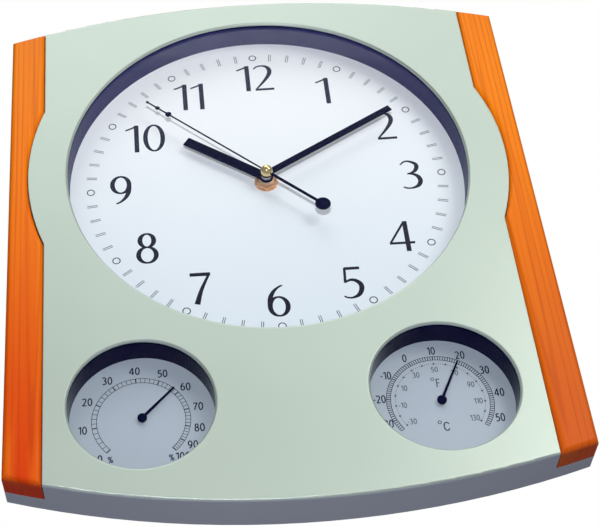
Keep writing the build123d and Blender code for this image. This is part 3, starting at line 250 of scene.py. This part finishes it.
# Lining rings
# Turned-in walls of dark styrene between each window and its dial, navy round the clock dial and near
# black round the gauges. They hold the dial back from the window and hide the rim of the opening.
navy = Finish("satin_navy_lining")
sheen = navy.grain(60, 2)
navy.wear(
    {
        "Base Color": navy.mix(sheen, tone(34, 33, 86), tone(46, 45, 104)),
        "Roughness": 0.34 + 0.14 * sheen,
        "Specular IOR Level": 0.12,
    },
    nodes["dial_ring"],
)
lining = Finish("gloss_black_lining")
sheen = lining.grain(60, 2)
lining.wear(
    {
        "Base Color": lining.mix(sheen, tone(8, 6, 48), tone(13, 11, 58)),
        "Roughness": 0.14 + 0.1 * sheen,
        "Specular IOR Level": 0.06,
    },
    nodes["hygrometer_ring"],
    nodes["thermometer_ring"],
)


# Clock dial
# A disc of steel sheet stove-enamelled white. The hour figures, the rings at the hours and the pairs of
# fine minute lines are screen printed on it in dark ink, which stands up a few hundredths.
class Print:
    """Ink on one dial: closed thin strokes that stand on its face, gathered in one mesh. Millimetres."""

    def __init__(self, across, up, face):
        self.mesh = bmesh.new()
        self.centre = Vector((across, -face, up))
        self.laid = 0

    def stroke(self, path, closed=False):
        """path holds points (x, y, width) along the middle of the stroke."""
        rise = 0.03 + 0.0015 * (self.laid % 12)
        self.laid += 1
        rails = []
        for step, (x, y, width) in enumerate(path):
            before = path[step - 1] if closed or step else path[0]
            after = path[(step + 1) % len(path)] if closed or step + 1 < len(path) else path[-1]
            run = Vector((after[0] - before[0], after[1] - before[1])).normalized() * width / 2
            edges = [(x - run.y, y + run.x), (x + run.y, y - run.x)]
            corners = [(*edges[0], rise), (*edges[1], rise), (*edges[1], -0.02), (*edges[0], -0.02)]
            places = [self.centre + Vector((a, -lift, b)) for a, b, lift in corners]
            rails.append([self.mesh.verts.new(place / 1000) for place in places])
        for first, second in zip(rails, rails[1:] + (rails[:1] if closed else [])):
            for side in range(4):
                turn = (side + 1) % 4
                self.mesh.faces.new((first[side], first[turn], second[turn], second[side]))
        if not closed:
            self.mesh.faces.new(reversed(rails[0]))
            self.mesh.faces.new(rails[-1])

    def line(self, angle, inner, outer, width, aside=0.0):
        """A mark across a scale; the angle is clockwise from the top, in degrees."""
        turn = math.radians(angle)
        out, side = Vector((math.sin(turn), math.cos(turn))), Vector((math.cos(turn), -math.sin(turn)))
        ends = [out * reach + side * aside for reach in (inner, outer)]
        self.stroke([(end.x, end.y, width) for end in ends])

    def arc(self, radius, start, end, width):
        steps = max(8, int(abs(end - start) / 3))
        turns = [math.radians(start + (end - start) * step / steps) for step in range(steps + 1)]
        self.stroke([(radius * math.sin(t), radius * math.cos(t), width) for t in turns])

    def ring(self, x, y, radius, width):
        turns = [math.tau * step / 32 for step in range(32)]
        self.stroke([(x + radius * math.cos(t), y + radius * math.sin(t), width) for t in turns], True)

    def dot(self, x, y, radius):
        self.ring(x, y, radius / 2, radius * 0.999)

    def write(self, figures, x, y, height, narrow=1.0, even=None):
        """Figures centred on (x, y). With even set, every stroke has that share of the height."""
        gap = 0.11 * height
        wide = sum(FIGURES[f][0] for f in figures) * height * narrow + gap * (len(figures) - 1)
        left, foot = x - wide / 2, y - height / 2
        for figure in figures:
            reach, strokes = FIGURES[figure]
            for path, closed in strokes:
                placed = [
                    (left + px * height * narrow, foot + py * height, (even or pw) * height)
                    for px, py, pw in path
                ]
                self.stroke(placed, closed)
            left += reach * height * narrow + gap

    def lay(self, name, finish):
        bmesh.ops.recalc_face_normals(self.mesh, faces=self.mesh.faces)
        data = bpy.data.meshes.new(name)
        self.mesh.to_mesh(data)
        self.mesh.free()
        ink = bpy.data.objects.new(name, data)
        bpy.context.scene.collection.objects.link(ink)
        data.materials.append(finish.material)
        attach(ink, "case")


def between(share, before, start, end, after):
    """A value on the smooth curve from start to end, which also heeds the values around them."""
    bend = 3 * (start - end) + after - before
    swing = 2 * before - 5 * start + 4 * end - after
    return start + 0.5 * share * (end - before + share * (swing + share * bend))


def flow(*points):
    """An open stroke through points (x, y, width), rounded off between them."""
    ends = [points[0], *points, points[-1]]
    path = []
    for a, b, c, d in zip(ends, ends[1:], ends[2:], ends[3:]):
        for share in (0, 0.2, 0.4, 0.6, 0.8):
            path.append(tuple(between(share, *four) for four in zip(a, b, c, d)))
    return [*path, points[-1]], False


def bar(*points):
    return list(points), False


def bowl(x, y, across, tall, thick=0.128, thin=0.055):
    """A closed oval stroke, heavy at its sides and light at head and foot, by its outer half sizes."""
    path = []
    for step in range(36):
        turn = math.tau * step / 36
        width = thin + (thick - thin) * abs(math.cos(turn)) ** 1.5
        path.append(
            (x + (across - thick / 2) * math.cos(turn), y + (tall - thin / 2) * math.sin(turn), width)
        )
    return path, True


hook = flow(
    (0.42, 0.975, 0.045), (0.31, 0.92, 0.06), (0.18, 0.79, 0.095), (0.09, 0.60, 0.125), (0.065, 0.38, 0.13),
)
FIGURES = {
    "0": (0.61, [bowl(0.305, 0.5, 0.305, 0.505)]),
    "1": (
        0.36,
        [
            bar((0.29, 0.0, 0.128), (0.29, 1.0, 0.128)),
            flow((0.33, 0.985, 0.06), (0.16, 0.90, 0.055), (-0.01, 0.83, 0.05)),
        ],
    ),
    "2": (
        0.57,
        [
            flow(
                (0.02, 0.86, 0.045), (0.10, 0.945, 0.05), (0.24, 0.975, 0.055), (0.38, 0.935, 0.09),
                (0.455, 0.82, 0.125), (0.455, 0.68, 0.125), (0.385, 0.52, 0.105), (0.25, 0.32, 0.075),
                (0.10, 0.13, 0.055), (0.03, 0.04, 0.05),
            ),
            bar((0.02, 0.04, 0.08), (0.55, 0.045, 0.08)),
        ],
    ),
    "3": (
        0.565,
        [
            flow(
                (0.03, 0.86, 0.04), (0.13, 0.955, 0.05), (0.26, 0.975, 0.06), (0.43, 0.88, 0.10),
                (0.46, 0.76, 0.12), (0.40, 0.63, 0.10), (0.29, 0.555, 0.06), (0.18, 0.53, 0.045),
            ),
            flow(
                (0.18, 0.53, 0.045), (0.32, 0.515, 0.07), (0.45, 0.43, 0.11), (0.50, 0.27, 0.13),
                (0.43, 0.11, 0.11), (0.27, 0.03, 0.06), (0.12, 0.03, 0.05), (0.02, 0.075, 0.05),
            ),
        ],
    ),
    "4": (
        0.66,
        [
            bar((0.47, 0.0, 0.125), (0.47, 1.0, 0.125)),
            bar((0.0, 0.28, 0.075), (0.66, 0.28, 0.075)),
            bar((0.02, 0.29, 0.06), (0.45, 0.98, 0.06)),
        ],
    ),
    "5": (
        0.55,
        [
            bar((0.10, 0.955, 0.09), (0.50, 0.955, 0.09)),
            bar((0.115, 0.97, 0.07), (0.09, 0.50, 0.07)),
            flow(
                (0.09, 0.515, 0.05), (0.22, 0.585, 0.075), (0.36, 0.56, 0.10), (0.475, 0.44, 0.125),
                (0.485, 0.28, 0.13), (0.40, 0.11, 0.11), (0.25, 0.03, 0.065), (0.12, 0.03, 0.05),
                (0.02, 0.08, 0.05),
            ),
        ],
    ),
    "6": (0.58, [bowl(0.29, 0.32, 0.29, 0.32), hook]),
    "7": (
        0.56,
        [
            bar((0.02, 0.945, 0.11), (0.55, 0.945, 0.11)),
            flow((0.52, 0.95, 0.06), (0.30, 0.45, 0.10), (0.17, 0.0, 0.15)),
        ],
    ),
    "8": (0.585, [bowl(0.29, 0.755, 0.245, 0.25), bowl(0.29, 0.275, 0.295, 0.285)]),
    "9": (0.58, [bowl(0.29, 0.68, 0.29, 0.32), ([(0.58 - x, 1 - y, w) for x, y, w in hook[0]], False)]),
}

enamel = Finish("white_stove_enamel")
peel = enamel.grain(650, 2)
tint = enamel.grain(8, 2)
# The white is painted lighter towards the top of the dial and darker towards its foot: painted light
# fall-off, not a tone of the enamel.
painted_light_falloff = enamel.ease(enamel.along("Z"), -0.18, 0.02)
enamel.wear(
    {
        "Base Color": enamel.mix(0.8 * painted_light_falloff + 0.2 * tint, tone(211, 221, 228), tone(252, 254, 255)),
        "Roughness": 0.34 + 0.12 * peel,
        "Normal": enamel.bump(peel, 0.000012),
    },
    nodes["dial_plate"],
)
figure_ink = Finish("dark_figure_ink")
speckle = figure_ink.grain(2600, 2)
# The ink is painted lighter towards the top of the dial: painted light, not a change in the ink.
painted_light_falloff = figure_ink.ease(figure_ink.along("Z"), -0.17, 0.02)
figure_ink.wear(
    {
        "Base Color": figure_ink.mix(0.8 * painted_light_falloff + 0.2 * speckle, tone(8, 8, 30), tone(44, 48, 72)),
        "Roughness": 0.45 + 0.2 * speckle,
        "Specular IOR Level": 0.2,
    }
)
line_ink = Finish("grey_line_ink")
speckle = line_ink.grain(2600, 2)
# The fine lines are painted lighter towards the top of the dial: painted light, not a change in the ink.
painted_light_falloff = line_ink.ease(line_ink.along("Z"), -0.17, 0.02)
line_ink.wear(
    {
        "Base Color": line_ink.mix(0.8 * painted_light_falloff + 0.2 * speckle, tone(62, 62, 84), tone(122, 124, 136)),
        "Roughness": 0.5 + 0.2 * speckle,
    }
)

HOURS = {
    "12": (0.5, 74.7), "1": (36.0, 62.3), "2": (65.8, 34.2), "3": (74.4, -0.4),
    "4": (63.7, -40.2), "5": (36.2, -66.8), "6": (-0.5, -75.0), "7": (-37.5, -64.9),
    "8": (-62.5, -38.2), "9": (-74.6, 0.6), "10": (-60.7, 35.3), "11": (-36.1, 63.4),
}
FIGURE_HEIGHT = 19.0
DIAL = (0.0, -80.0, 22.6)  # across, up, and the face's distance from the wall
HOUR_RING_TRACK, HOUR_RING_RADIUS, HOUR_RING_LINE = 90.0, 1.82, 0.5
MINUTE_INNER, MINUTE_OUTER, MINUTE_LINE, MINUTE_HALF_GAP = 87.2, 92.5, 0.38, 0.475
figures = Print(*DIAL)
for hour, (x, y) in HOURS.items():
    figures.write(hour, x, y, FIGURE_HEIGHT)
figures.lay("hour_figures", figure_ink)
hour_rings = Print(*DIAL)
track = Print(*DIAL)
for minute in range(60):
    angle = 6 * minute
    if minute % 5:
        for aside in (-MINUTE_HALF_GAP, MINUTE_HALF_GAP):
            track.line(angle, MINUTE_INNER, MINUTE_OUTER, MINUTE_LINE, aside)
    else:
        turn = math.radians(angle)
        x, y = HOUR_RING_TRACK * math.sin(turn), HOUR_RING_TRACK * math.cos(turn)
        hour_rings.ring(x, y, HOUR_RING_RADIUS, HOUR_RING_LINE)
hour_rings.lay("hour_rings", figure_ink)
track.lay("minute_track", line_ink)


# Neck washer and nut
# A turned brass washer and a hexagon nut on the threaded neck of the movement. They draw the dial and
# the movement together, with a rubber washer behind the dial.
brass = Finish("turned_brass")
turning = brass.grain(1, 3, (300, 4000, 300))
tarnish = brass.grain(260, 3)
brass.wear(
    {
        "Base Color": brass.mix(tarnish, tone(255, 212, 162), tone(238, 172, 134)),
        "Metallic": 0.65,
        "Roughness": 0.22 + 0.16 * turning,
        "Normal": brass.bump(turning, 0.00001),
    },
    nodes["shaft_nut"],
    nodes["shaft_washer"],
    nodes["hygrometer_bridge"],
    nodes["thermometer_bridge"],
)
rubber = Finish("black_rubber")
bloom = rubber.grain(700, 3)
rubber.wear(
    {
        "Base Color": rubber.mix(bloom, tone(22, 22, 23), tone(40, 40, 42)),
        "Roughness": 0.7 + 0.2 * bloom,
        "Normal": rubber.bump(bloom, 0.00003),
    },
    nodes["rubber_washer"],
)


# Movement case and cover
# The two halves of the quartz movement's box, moulded in black ABS and clipped together. Its front half
# ends in the threaded neck, its rear half leaves the cell and the setting knob in reach.
moulded = Finish("black_moulded_plastic")
skin = moulded.grain(2200, 2)
swirl = moulded.grain(45, 3)
neck = 1 - moulded.ease(moulded.along("Y"), -0.0216, -0.0215)
plastic = moulded.mix(swirl, tone(24, 24, 27), tone(40, 40, 44))
moulded.wear(
    {
        "Base Color": moulded.mix(neck, plastic, tone(236, 206, 182)),
        "Metallic": 0.35 * neck,
        "Roughness": 0.36 + 0.2 * skin,
        "Normal": moulded.bump(skin, 0.00004),
    },
    nodes["movement_case"],
    nodes["movement_cover"],
    nodes["setting_knob"],
)


# Going train
# Wheels and pinions moulded in white acetal, with the centre wheel and the hour wheel on drawn metal
# pipes that carry the hands out through the neck.
acetal = Finish("white_acetal")
milk = acetal.grain(240, 2)
acetal.wear(
    {
        "Base Color": acetal.mix(milk, tone(222, 219, 206), tone(240, 238, 228)),
        "Roughness": 0.28 + 0.18 * milk,
    },
    nodes["intermediate_wheel"],
    nodes["seconds_wheel"],
    nodes["third_wheel"],
    nodes["motion_wheel"],
    nodes["coil_bobbin"],
)
pipe = Finish("drawn_pipe_metal")
draw_marks = pipe.grain(1, 3, (3000, 120, 3000))
pipe.wear(
    {
        "Base Color": pipe.mix(draw_marks, tone(196, 198, 204), tone(224, 225, 228)),
        "Metallic": 0.85,
        "Roughness": 0.24 + 0.16 * draw_marks,
    },
    nodes["centre_wheel"],
    nodes["hour_wheel"],
)


# Step motor
# A sintered magnet on a moulded pinion turns in a stator punched from soft iron sheet, driven by a coil
# of enamelled copper wire on a white bobbin.
sintered = Finish("sintered_magnet")
pitting = sintered.grain(1900, 3)
sintered.wear(
    {
        "Base Color": sintered.mix(pitting, tone(58, 56, 58), tone(92, 90, 92)),
        "Metallic": 0.5 + 0.3 * pitting,
        "Roughness": 0.4 + 0.25 * pitting,
    },
    nodes["rotor"],
)
iron = Finish("punched_soft_iron")
rolling = iron.grain(1, 3, (160, 160, 2600))
iron.wear(
    {
        "Base Color": iron.mix(rolling, tone(150, 150, 154), tone(184, 184, 188)),
        "Metallic": 1.0,
        "Roughness": 0.32 + 0.2 * rolling,
    },
    nodes["stator"],
)
wound = Finish("enamelled_copper_wire")
turns = wound.node(
    "TexWave", {"bands_direction": "Z"}, {"Vector": wound.spot(), "Scale": 1300.0, "Distortion": 0.6}
)
wound.wear(
    {
        "Base Color": wound.mix(turns, tone(140, 62, 26), tone(214, 118, 58)),
        "Metallic": 0.8,
        "Roughness": 0.3 + 0.2 * turns,
        "Normal": wound.bump(turns, 0.00006),
    },
    nodes["coil_winding"],
)


# Circuit board and crystal
# A small green glass-fibre board with the circuit under a black drop of resin, and the crystal in its
# bright steel can beside it.
board = Finish("green_circuit_board")
weave = board.grain(1600, 2)
resin = board.ease(board.along("Y"), -0.0176, -0.0174)
mask = board.mix(weave, tone(14, 84, 48), tone(28, 112, 64))
board.wear(
    {
        "Base Color": board.mix(resin, mask, tone(18, 18, 20)),
        "Roughness": 0.3 + 0.2 * weave,
    },
    nodes["circuit_board"],
)
can = Finish("bright_can_steel")
drawn = can.grain(1, 3, (500, 500, 2600))
can.wear(
    {
        "Base Color": can.mix(drawn, tone(196, 197, 200), tone(222, 222, 224)),
        "Metallic": 1.0,
        "Roughness": 0.2 + 0.18 * drawn,
    },
    nodes["quartz_crystal"],
    nodes["hygrometer_cup"],
    nodes["thermometer_cup"],
)


# Cell and contacts
# One AA cell in a plain printed sleeve, bare steel at both ends, held between two contacts bent from
# nickel plated strip.
sleeve = Finish("plain_cell_sleeve")
place = sleeve.along("X")
scuff = sleeve.grain(320, 3)
band = sleeve.ease(place, 0.0128, 0.0131)
bare = sleeve.ease(place, 0.0236, 0.0237) + 1 - sleeve.ease(place, -0.0241, -0.0240)
wrap = sleeve.mix(band, tone(42, 46, 56), tone(196, 128, 62))
sleeve.wear(
    {
        "Base Color": sleeve.mix(bare, wrap, tone(204, 205, 208)),
        "Metallic": 0.25 + 0.7 * bare,
        "Roughness": 0.26 + 0.2 * scuff,
    },
    nodes["battery"],
)
nickel = Finish("nickel_plated_strip")
polish = nickel.grain(380, 3)
nickel.wear(
    {
        "Base Color": nickel.mix(polish, tone(206, 202, 190), tone(222, 218, 208)),
        "Metallic": 1.0,
        "Roughness": 0.22 + 0.16 * polish,
    },
    nodes["positive_contact"],
    nodes["negative_contact"],
)


# Hands
# Hour, minute and seconds hands stamped from thin aluminium and painted a blue-black satin. They press
# on the pipes in that order, and a gold-coloured ball closes the seconds pipe.
satin = Finish("blue_black_hand_paint")
orange_peel = satin.grain(900, 2)
satin.wear(
    {
        "Base Color": satin.mix(orange_peel, tone(4, 6, 40), tone(8, 10, 46)),
        "Roughness": 0.34 + 0.14 * orange_peel,
        "Specular IOR Level": 0.03,
        "Normal": satin.bump(orange_peel, 0.000008),
    },
    nodes["hour_hand"],
    nodes["second_hand"],
    nodes["hygrometer_pointer"],
    nodes["thermometer_pointer"],
)
bushed = Finish("painted_hand_with_bright_bush")
orange_peel = bushed.grain(900, 2)
bush = bushed.ease(bushed.along("Y"), -0.02917, -0.02915)
paint = bushed.mix(orange_peel, tone(4, 6, 40), tone(8, 10, 46))
bushed.wear(
    {
        "Base Color": bushed.mix(bush, paint, tone(226, 224, 232)),
        "Metallic": 0.75 * bush,
        "Roughness": 0.34 + 0.14 * orange_peel,
        "Specular IOR Level": 0.03,
        "Normal": bushed.bump(orange_peel, 0.000008),
    },
    nodes["minute_hand"],
)
gilt = Finish("polished_gilt")
lustre = gilt.grain(420, 2)
gilt.wear(
    {
        "Base Color": gilt.mix(lustre, tone(226, 202, 138), tone(240, 220, 164)),
        "Metallic": 0.75,
        "Roughness": 0.08 + 0.08 * lustre,
    },
    nodes["second_hand_cap"],
)


# Hygrometer and thermometer dials
# Two small discs of satin painted sheet with printed scales: relative humidity on the left, and degrees
# Celsius round degrees Fahrenheit on the right. Clips hold them in the rings from behind.
FIGURES.update(
    {
        "-": (0.34, [bar((0.04, 0.42, 0.1), (0.30, 0.42, 0.1))]),
        "F": (
            0.46,
            [
                bar((0.05, 0.0, 0.1), (0.05, 1.0, 0.1)),
                bar((0.0, 0.955, 0.09), (0.46, 0.955, 0.09)),
                bar((0.05, 0.52, 0.09), (0.40, 0.52, 0.09)),
            ],
        ),
        "C": (
            0.62,
            [
                flow(
                    (0.60, 0.77, 0.1), (0.52, 0.90, 0.1), (0.36, 0.96, 0.1), (0.17, 0.88, 0.1),
                    (0.06, 0.66, 0.1), (0.05, 0.40, 0.1), (0.15, 0.14, 0.1), (0.34, 0.04, 0.1),
                    (0.52, 0.10, 0.1), (0.60, 0.25, 0.1),
                )
            ],
        ),
        "%": (
            0.80,
            [
                bowl(0.18, 0.76, 0.18, 0.24, 0.1, 0.1),
                bowl(0.62, 0.24, 0.18, 0.24, 0.1, 0.1),
                bar((0.22, 0.0, 0.08), (0.58, 1.0, 0.08)),
            ],
        ),
    }
)
pale = Finish("pale_gauge_paint")
mist = pale.grain(1200, 2)
pool = pale.grain(24, 2)
pale.wear(
    {
        "Base Color": pale.mix(0.7 * pool + 0.3 * mist, tone(160, 171, 182), tone(173, 183, 194)),
        "Metallic": 0.1,
        "Roughness": 0.38 + 0.14 * mist,
        "Normal": pale.bump(mist, 0.00001),
    },
    nodes["hygrometer_dial"],
    nodes["thermometer_dial"],
)
gauge_ink = Finish("slate_gauge_ink")
speckle = gauge_ink.grain(2600, 2)
gauge_ink.wear(
    {
        "Base Color": gauge_ink.mix(speckle, tone(20, 22, 48), tone(34, 37, 66)),
        "Roughness": 0.45 + 0.2 * speckle,
        "Specular IOR Level": 0.2,
    }
)
faint_ink = Finish("grey_gauge_ink")
speckle = faint_ink.grain(2600, 2)
faint_ink.wear(
    {
        "Base Color": faint_ink.mix(speckle, tone(58, 64, 84), tone(78, 85, 104)),
        "Roughness": 0.5 + 0.2 * speckle,
    }
)

GAUGE_UP, GAUGE_FACE = -217.492, 23.4
SCALE_LINE = 0.26
HUMIDITY = [-134.9, -97.8, -65.0, -33.8, -4.8, 23.6, 51.5, 77.6, 101.8, 121.8, 137.6]
HUMIDITY_DIAL = (-68.85, GAUGE_UP - 0.5, GAUGE_FACE)
HUMIDITY_INNER, HUMIDITY_OUTER, HUMIDITY_FIGURES = 20.3, 22.6, 26.9
humidity_figures = Print(*HUMIDITY_DIAL)
humidity_scale = Print(*HUMIDITY_DIAL)
for radius in (HUMIDITY_INNER, HUMIDITY_OUTER):
    humidity_scale.arc(radius, HUMIDITY[0], HUMIDITY[-1], SCALE_LINE)
for tens in range(11):
    humidity_figures.line(HUMIDITY[tens], HUMIDITY_INNER - 0.1, HUMIDITY_OUTER + 0.1, 0.55)
    turn = math.radians(HUMIDITY[tens])
    x, y = HUMIDITY_FIGURES * math.sin(turn), HUMIDITY_FIGURES * math.cos(turn)
    humidity_figures.write(str(10 * tens), x, y, 3.9, 0.9, 0.15)
for low, high in zip(HUMIDITY, HUMIDITY[1:]):
    for fifth in range(1, 5):
        humidity_scale.line(low + (high - low) * fifth / 5, HUMIDITY_INNER, HUMIDITY_OUTER, 0.24)
for x, y in ((-14.4, -19.6), (13.0, -20.2)):
    humidity_figures.write("%", x, y, 3.2, 0.9, 0.13)
humidity_figures.lay("humidity_figures", gauge_ink)
humidity_scale.lay("humidity_scale", gauge_ink)

CELSIUS_STEP, CELSIUS_TOP = 2.8, 10  # degrees of turn per degree Celsius, and the warmth at the top
FAHRENHEIT_STEP, FAHRENHEIT_TOP = CELSIUS_STEP * 5 / 9, 50
WARMTH_DIAL = (67.65, GAUGE_UP + 0.1, GAUGE_FACE)
CELSIUS_INNER, CELSIUS_OUTER, CELSIUS_FIGURES = 22.5, 24.45, 27.6
FAHRENHEIT_DOTS, FAHRENHEIT_FIGURES = 20.35, 17.3
DEGREE_SIGN = (0.75, 0.34)  # radius and line
celsius = Print(*WARMTH_DIAL)
for radius in (CELSIUS_INNER, CELSIUS_OUTER):
    celsius.arc(radius, -45 * CELSIUS_STEP, 45 * CELSIUS_STEP, SCALE_LINE)
for warmth in range(-35, 56):
    angle = (warmth - CELSIUS_TOP) * CELSIUS_STEP
    celsius.line(angle, CELSIUS_INNER - 0.05, CELSIUS_OUTER + 0.05, 0.36 if warmth % 10 else 0.5)
for warmth in range(-30, 51, 10):
    turn = math.radians((warmth - CELSIUS_TOP) * CELSIUS_STEP)
    celsius.write(
        str(warmth), CELSIUS_FIGURES * math.sin(turn), CELSIUS_FIGURES * math.cos(turn), 4.0, 0.78, 0.14
    )
celsius.ring(-2.0, -11.1, *DEGREE_SIGN)
celsius.write("C", 0.75, -13.4, 4.5, 0.9, 0.12)
celsius.lay("celsius_scale", gauge_ink)
fahrenheit = Print(*WARMTH_DIAL)
for warmth in range(-30, 131, 2):
    turn = math.radians((warmth - FAHRENHEIT_TOP) * FAHRENHEIT_STEP)
    x, y = FAHRENHEIT_DOTS * math.sin(turn), FAHRENHEIT_DOTS * math.cos(turn)
    fahrenheit.dot(x, y, 0.2 if warmth % 10 else 0.5)
for warmth in range(-30, 131, 20):
    turn = math.radians((warmth - FAHRENHEIT_TOP) * FAHRENHEIT_STEP)
    x, y = FAHRENHEIT_FIGURES * math.sin(turn), FAHRENHEIT_FIGURES * math.cos(turn)
    fahrenheit.write(str(warmth), x, y, 2.8, 0.85, 0.13)
fahrenheit.ring(-1.9, 12.0, *DEGREE_SIGN)
fahrenheit.write("F", 0.5, 9.8, 4.5, 0.8, 0.12)
fahrenheit.lay("fahrenheit_scale", faint_ink)


# Sensing coils
# A spiral of coated humidity strip and a spiral of bimetal, each pinned to its arbor inside and to the
# foot of its bridge outside. They wind and unwind to turn the pointers.
coated = Finish("coated_humidity_strip")
film = coated.grain(800, 3)
coated.wear(
    {
        "Base Color": coated.mix(film, tone(206, 200, 184), tone(178, 172, 158)),
        "Metallic": 0.6,
        "Roughness": 0.34 + 0.2 * film,
    },
    nodes["hygrometer_coil"],
)
bimetal = Finish("rolled_bimetal")
rolled = bimetal.grain(800, 3)
bimetal.wear(
    {
        "Base Color": bimetal.mix(rolled, tone(206, 168, 112), tone(176, 132, 84)),
        "Metallic": 1.0,
        "Roughness": 0.28 + 0.2 * rolled,
    },
    nodes["thermometer_coil"],
)


# Studio
# A pale floor well below the hanging clock, a small key light in front and below the dial's axis with a
# weak twin for its glints, a panel at the right and one behind, a dim surround and the photograph's camera.
FLOOR_REACH, FLOOR_LEVEL = 6.0, -1.2
floor_plane = bpy.data.meshes.new("studio_floor")
corners = [(-1, -1), (1, -1), (1, 1), (-1, 1)]
floor_plane.from_pydata(
    [(x * FLOOR_REACH, y * FLOOR_REACH, FLOOR_LEVEL) for x, y in corners], [], [(0, 1, 2, 3)]
)
floor = bpy.data.objects.new("studio_floor", floor_plane)
bpy.context.scene.collection.objects.link(floor)
paper = Finish("pale_floor_paper")
tooth = paper.grain(40, 3)
shown = paper.node("LightPath", out="Is Camera Ray")
paper.wear(
    {
        "Base Color": paper.mix(tooth, tone(150, 143, 176), tone(158, 151, 184)),
        "Roughness": 0.8 + 0.1 * tooth,
        "Emission Color": paper.mix(shown, (0, 0, 0, 1), tone(212, 214, 222)),
        "Emission Strength": 0.75,
    },
    floor,
)
floor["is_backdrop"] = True

AIM = Vector((0.0, -0.03, -0.117))


def panel(name, place, width, tall, power, colour):
    lamp = bpy.data.lights.new(name, "AREA")
    lamp.shape = "RECTANGLE"
    lamp.size, lamp.size_y = width, tall
    lamp.energy = power
    lamp.color = colour
    stand = bpy.data.objects.new(name, lamp)
    stand.location = place
    stand.rotation_euler = (AIM - Vector(place)).to_track_quat("-Z", "Y").to_euler()
    bpy.context.scene.collection.objects.link(stand)


KEY_PLACE, KEY_SIZE, KEY_COLOUR = (-0.037, -0.707, -0.393), 0.03, (0.96, 1.0, 1.03)
panel("key_light", KEY_PLACE, KEY_SIZE, KEY_SIZE, 2.05, KEY_COLOUR)
bpy.data.objects["key_light"].visible_glossy = False
panel("glint_light", KEY_PLACE, KEY_SIZE, KEY_SIZE, 1.1, KEY_COLOUR)
panel("right_panel", (0.66, -0.98, 0.20), 0.5, 0.5, 4.3, (1.0, 1.0, 0.96))
panel("rear_panel", (0.0, 1.8, 0.7), 1.6, 1.2, 30.0, (1.0, 1.0, 1.0))


class Surround(Finish):
    """The studio's walls: the same node tools, on a world."""

    def __init__(self, name):
        self.world = bpy.data.worlds.new(name)
        self.world.use_nodes = True
        self.tree = self.world.node_tree
        self.shader = self.tree.nodes["Background"]
        bpy.context.scene.world = self.world

    def glow(self, towards, low, high):
        """0 well away from a direction, rising softly to 1 along it."""
        ends = {0: self.node("TexCoord", out="Generated"), 1: Vector(towards).normalized()}
        nearness = self.node("VectorMath", {"operation": "DOT_PRODUCT"}, ends, out="Value")
        return self.ease(nearness, low, high)


studio = Surround("studio_surround")
ceiling = studio.glow((0.05, -0.50, 0.86), 0.85, 1.0)
window = studio.glow((-0.12, -0.45, 0.885), 0.92, 1.0)
walls = studio.mix(0.03 + 0.44 * ceiling + 0.53 * window, (0, 0, 0, 1), (3.3, 3.4, 3.4, 1))
seen = studio.node("LightPath", out="Is Camera Ray")
studio.join(studio.shader, {"Color": studio.mix(seen, walls, (1, 1, 1, 1))})

bpy.context.scene.view_settings.view_transform = "Standard"
lens = bpy.data.cameras.new("photo_camera")
lens.sensor_width = 36.0
lens.lens = 88.32
lens.shift_x = 0.19
lens.clip_start, lens.clip_end = 0.05, 50.0
camera = bpy.data.objects.new("photo_camera", lens)
camera.location = (-0.0497, -0.5969, -0.5699)
camera.rotation_euler = (2.226375, 0.052225, 0.029854)
bpy.context.scene.collection.objects.link(camera)
bpy.context.scene.camera = camera

low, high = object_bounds()
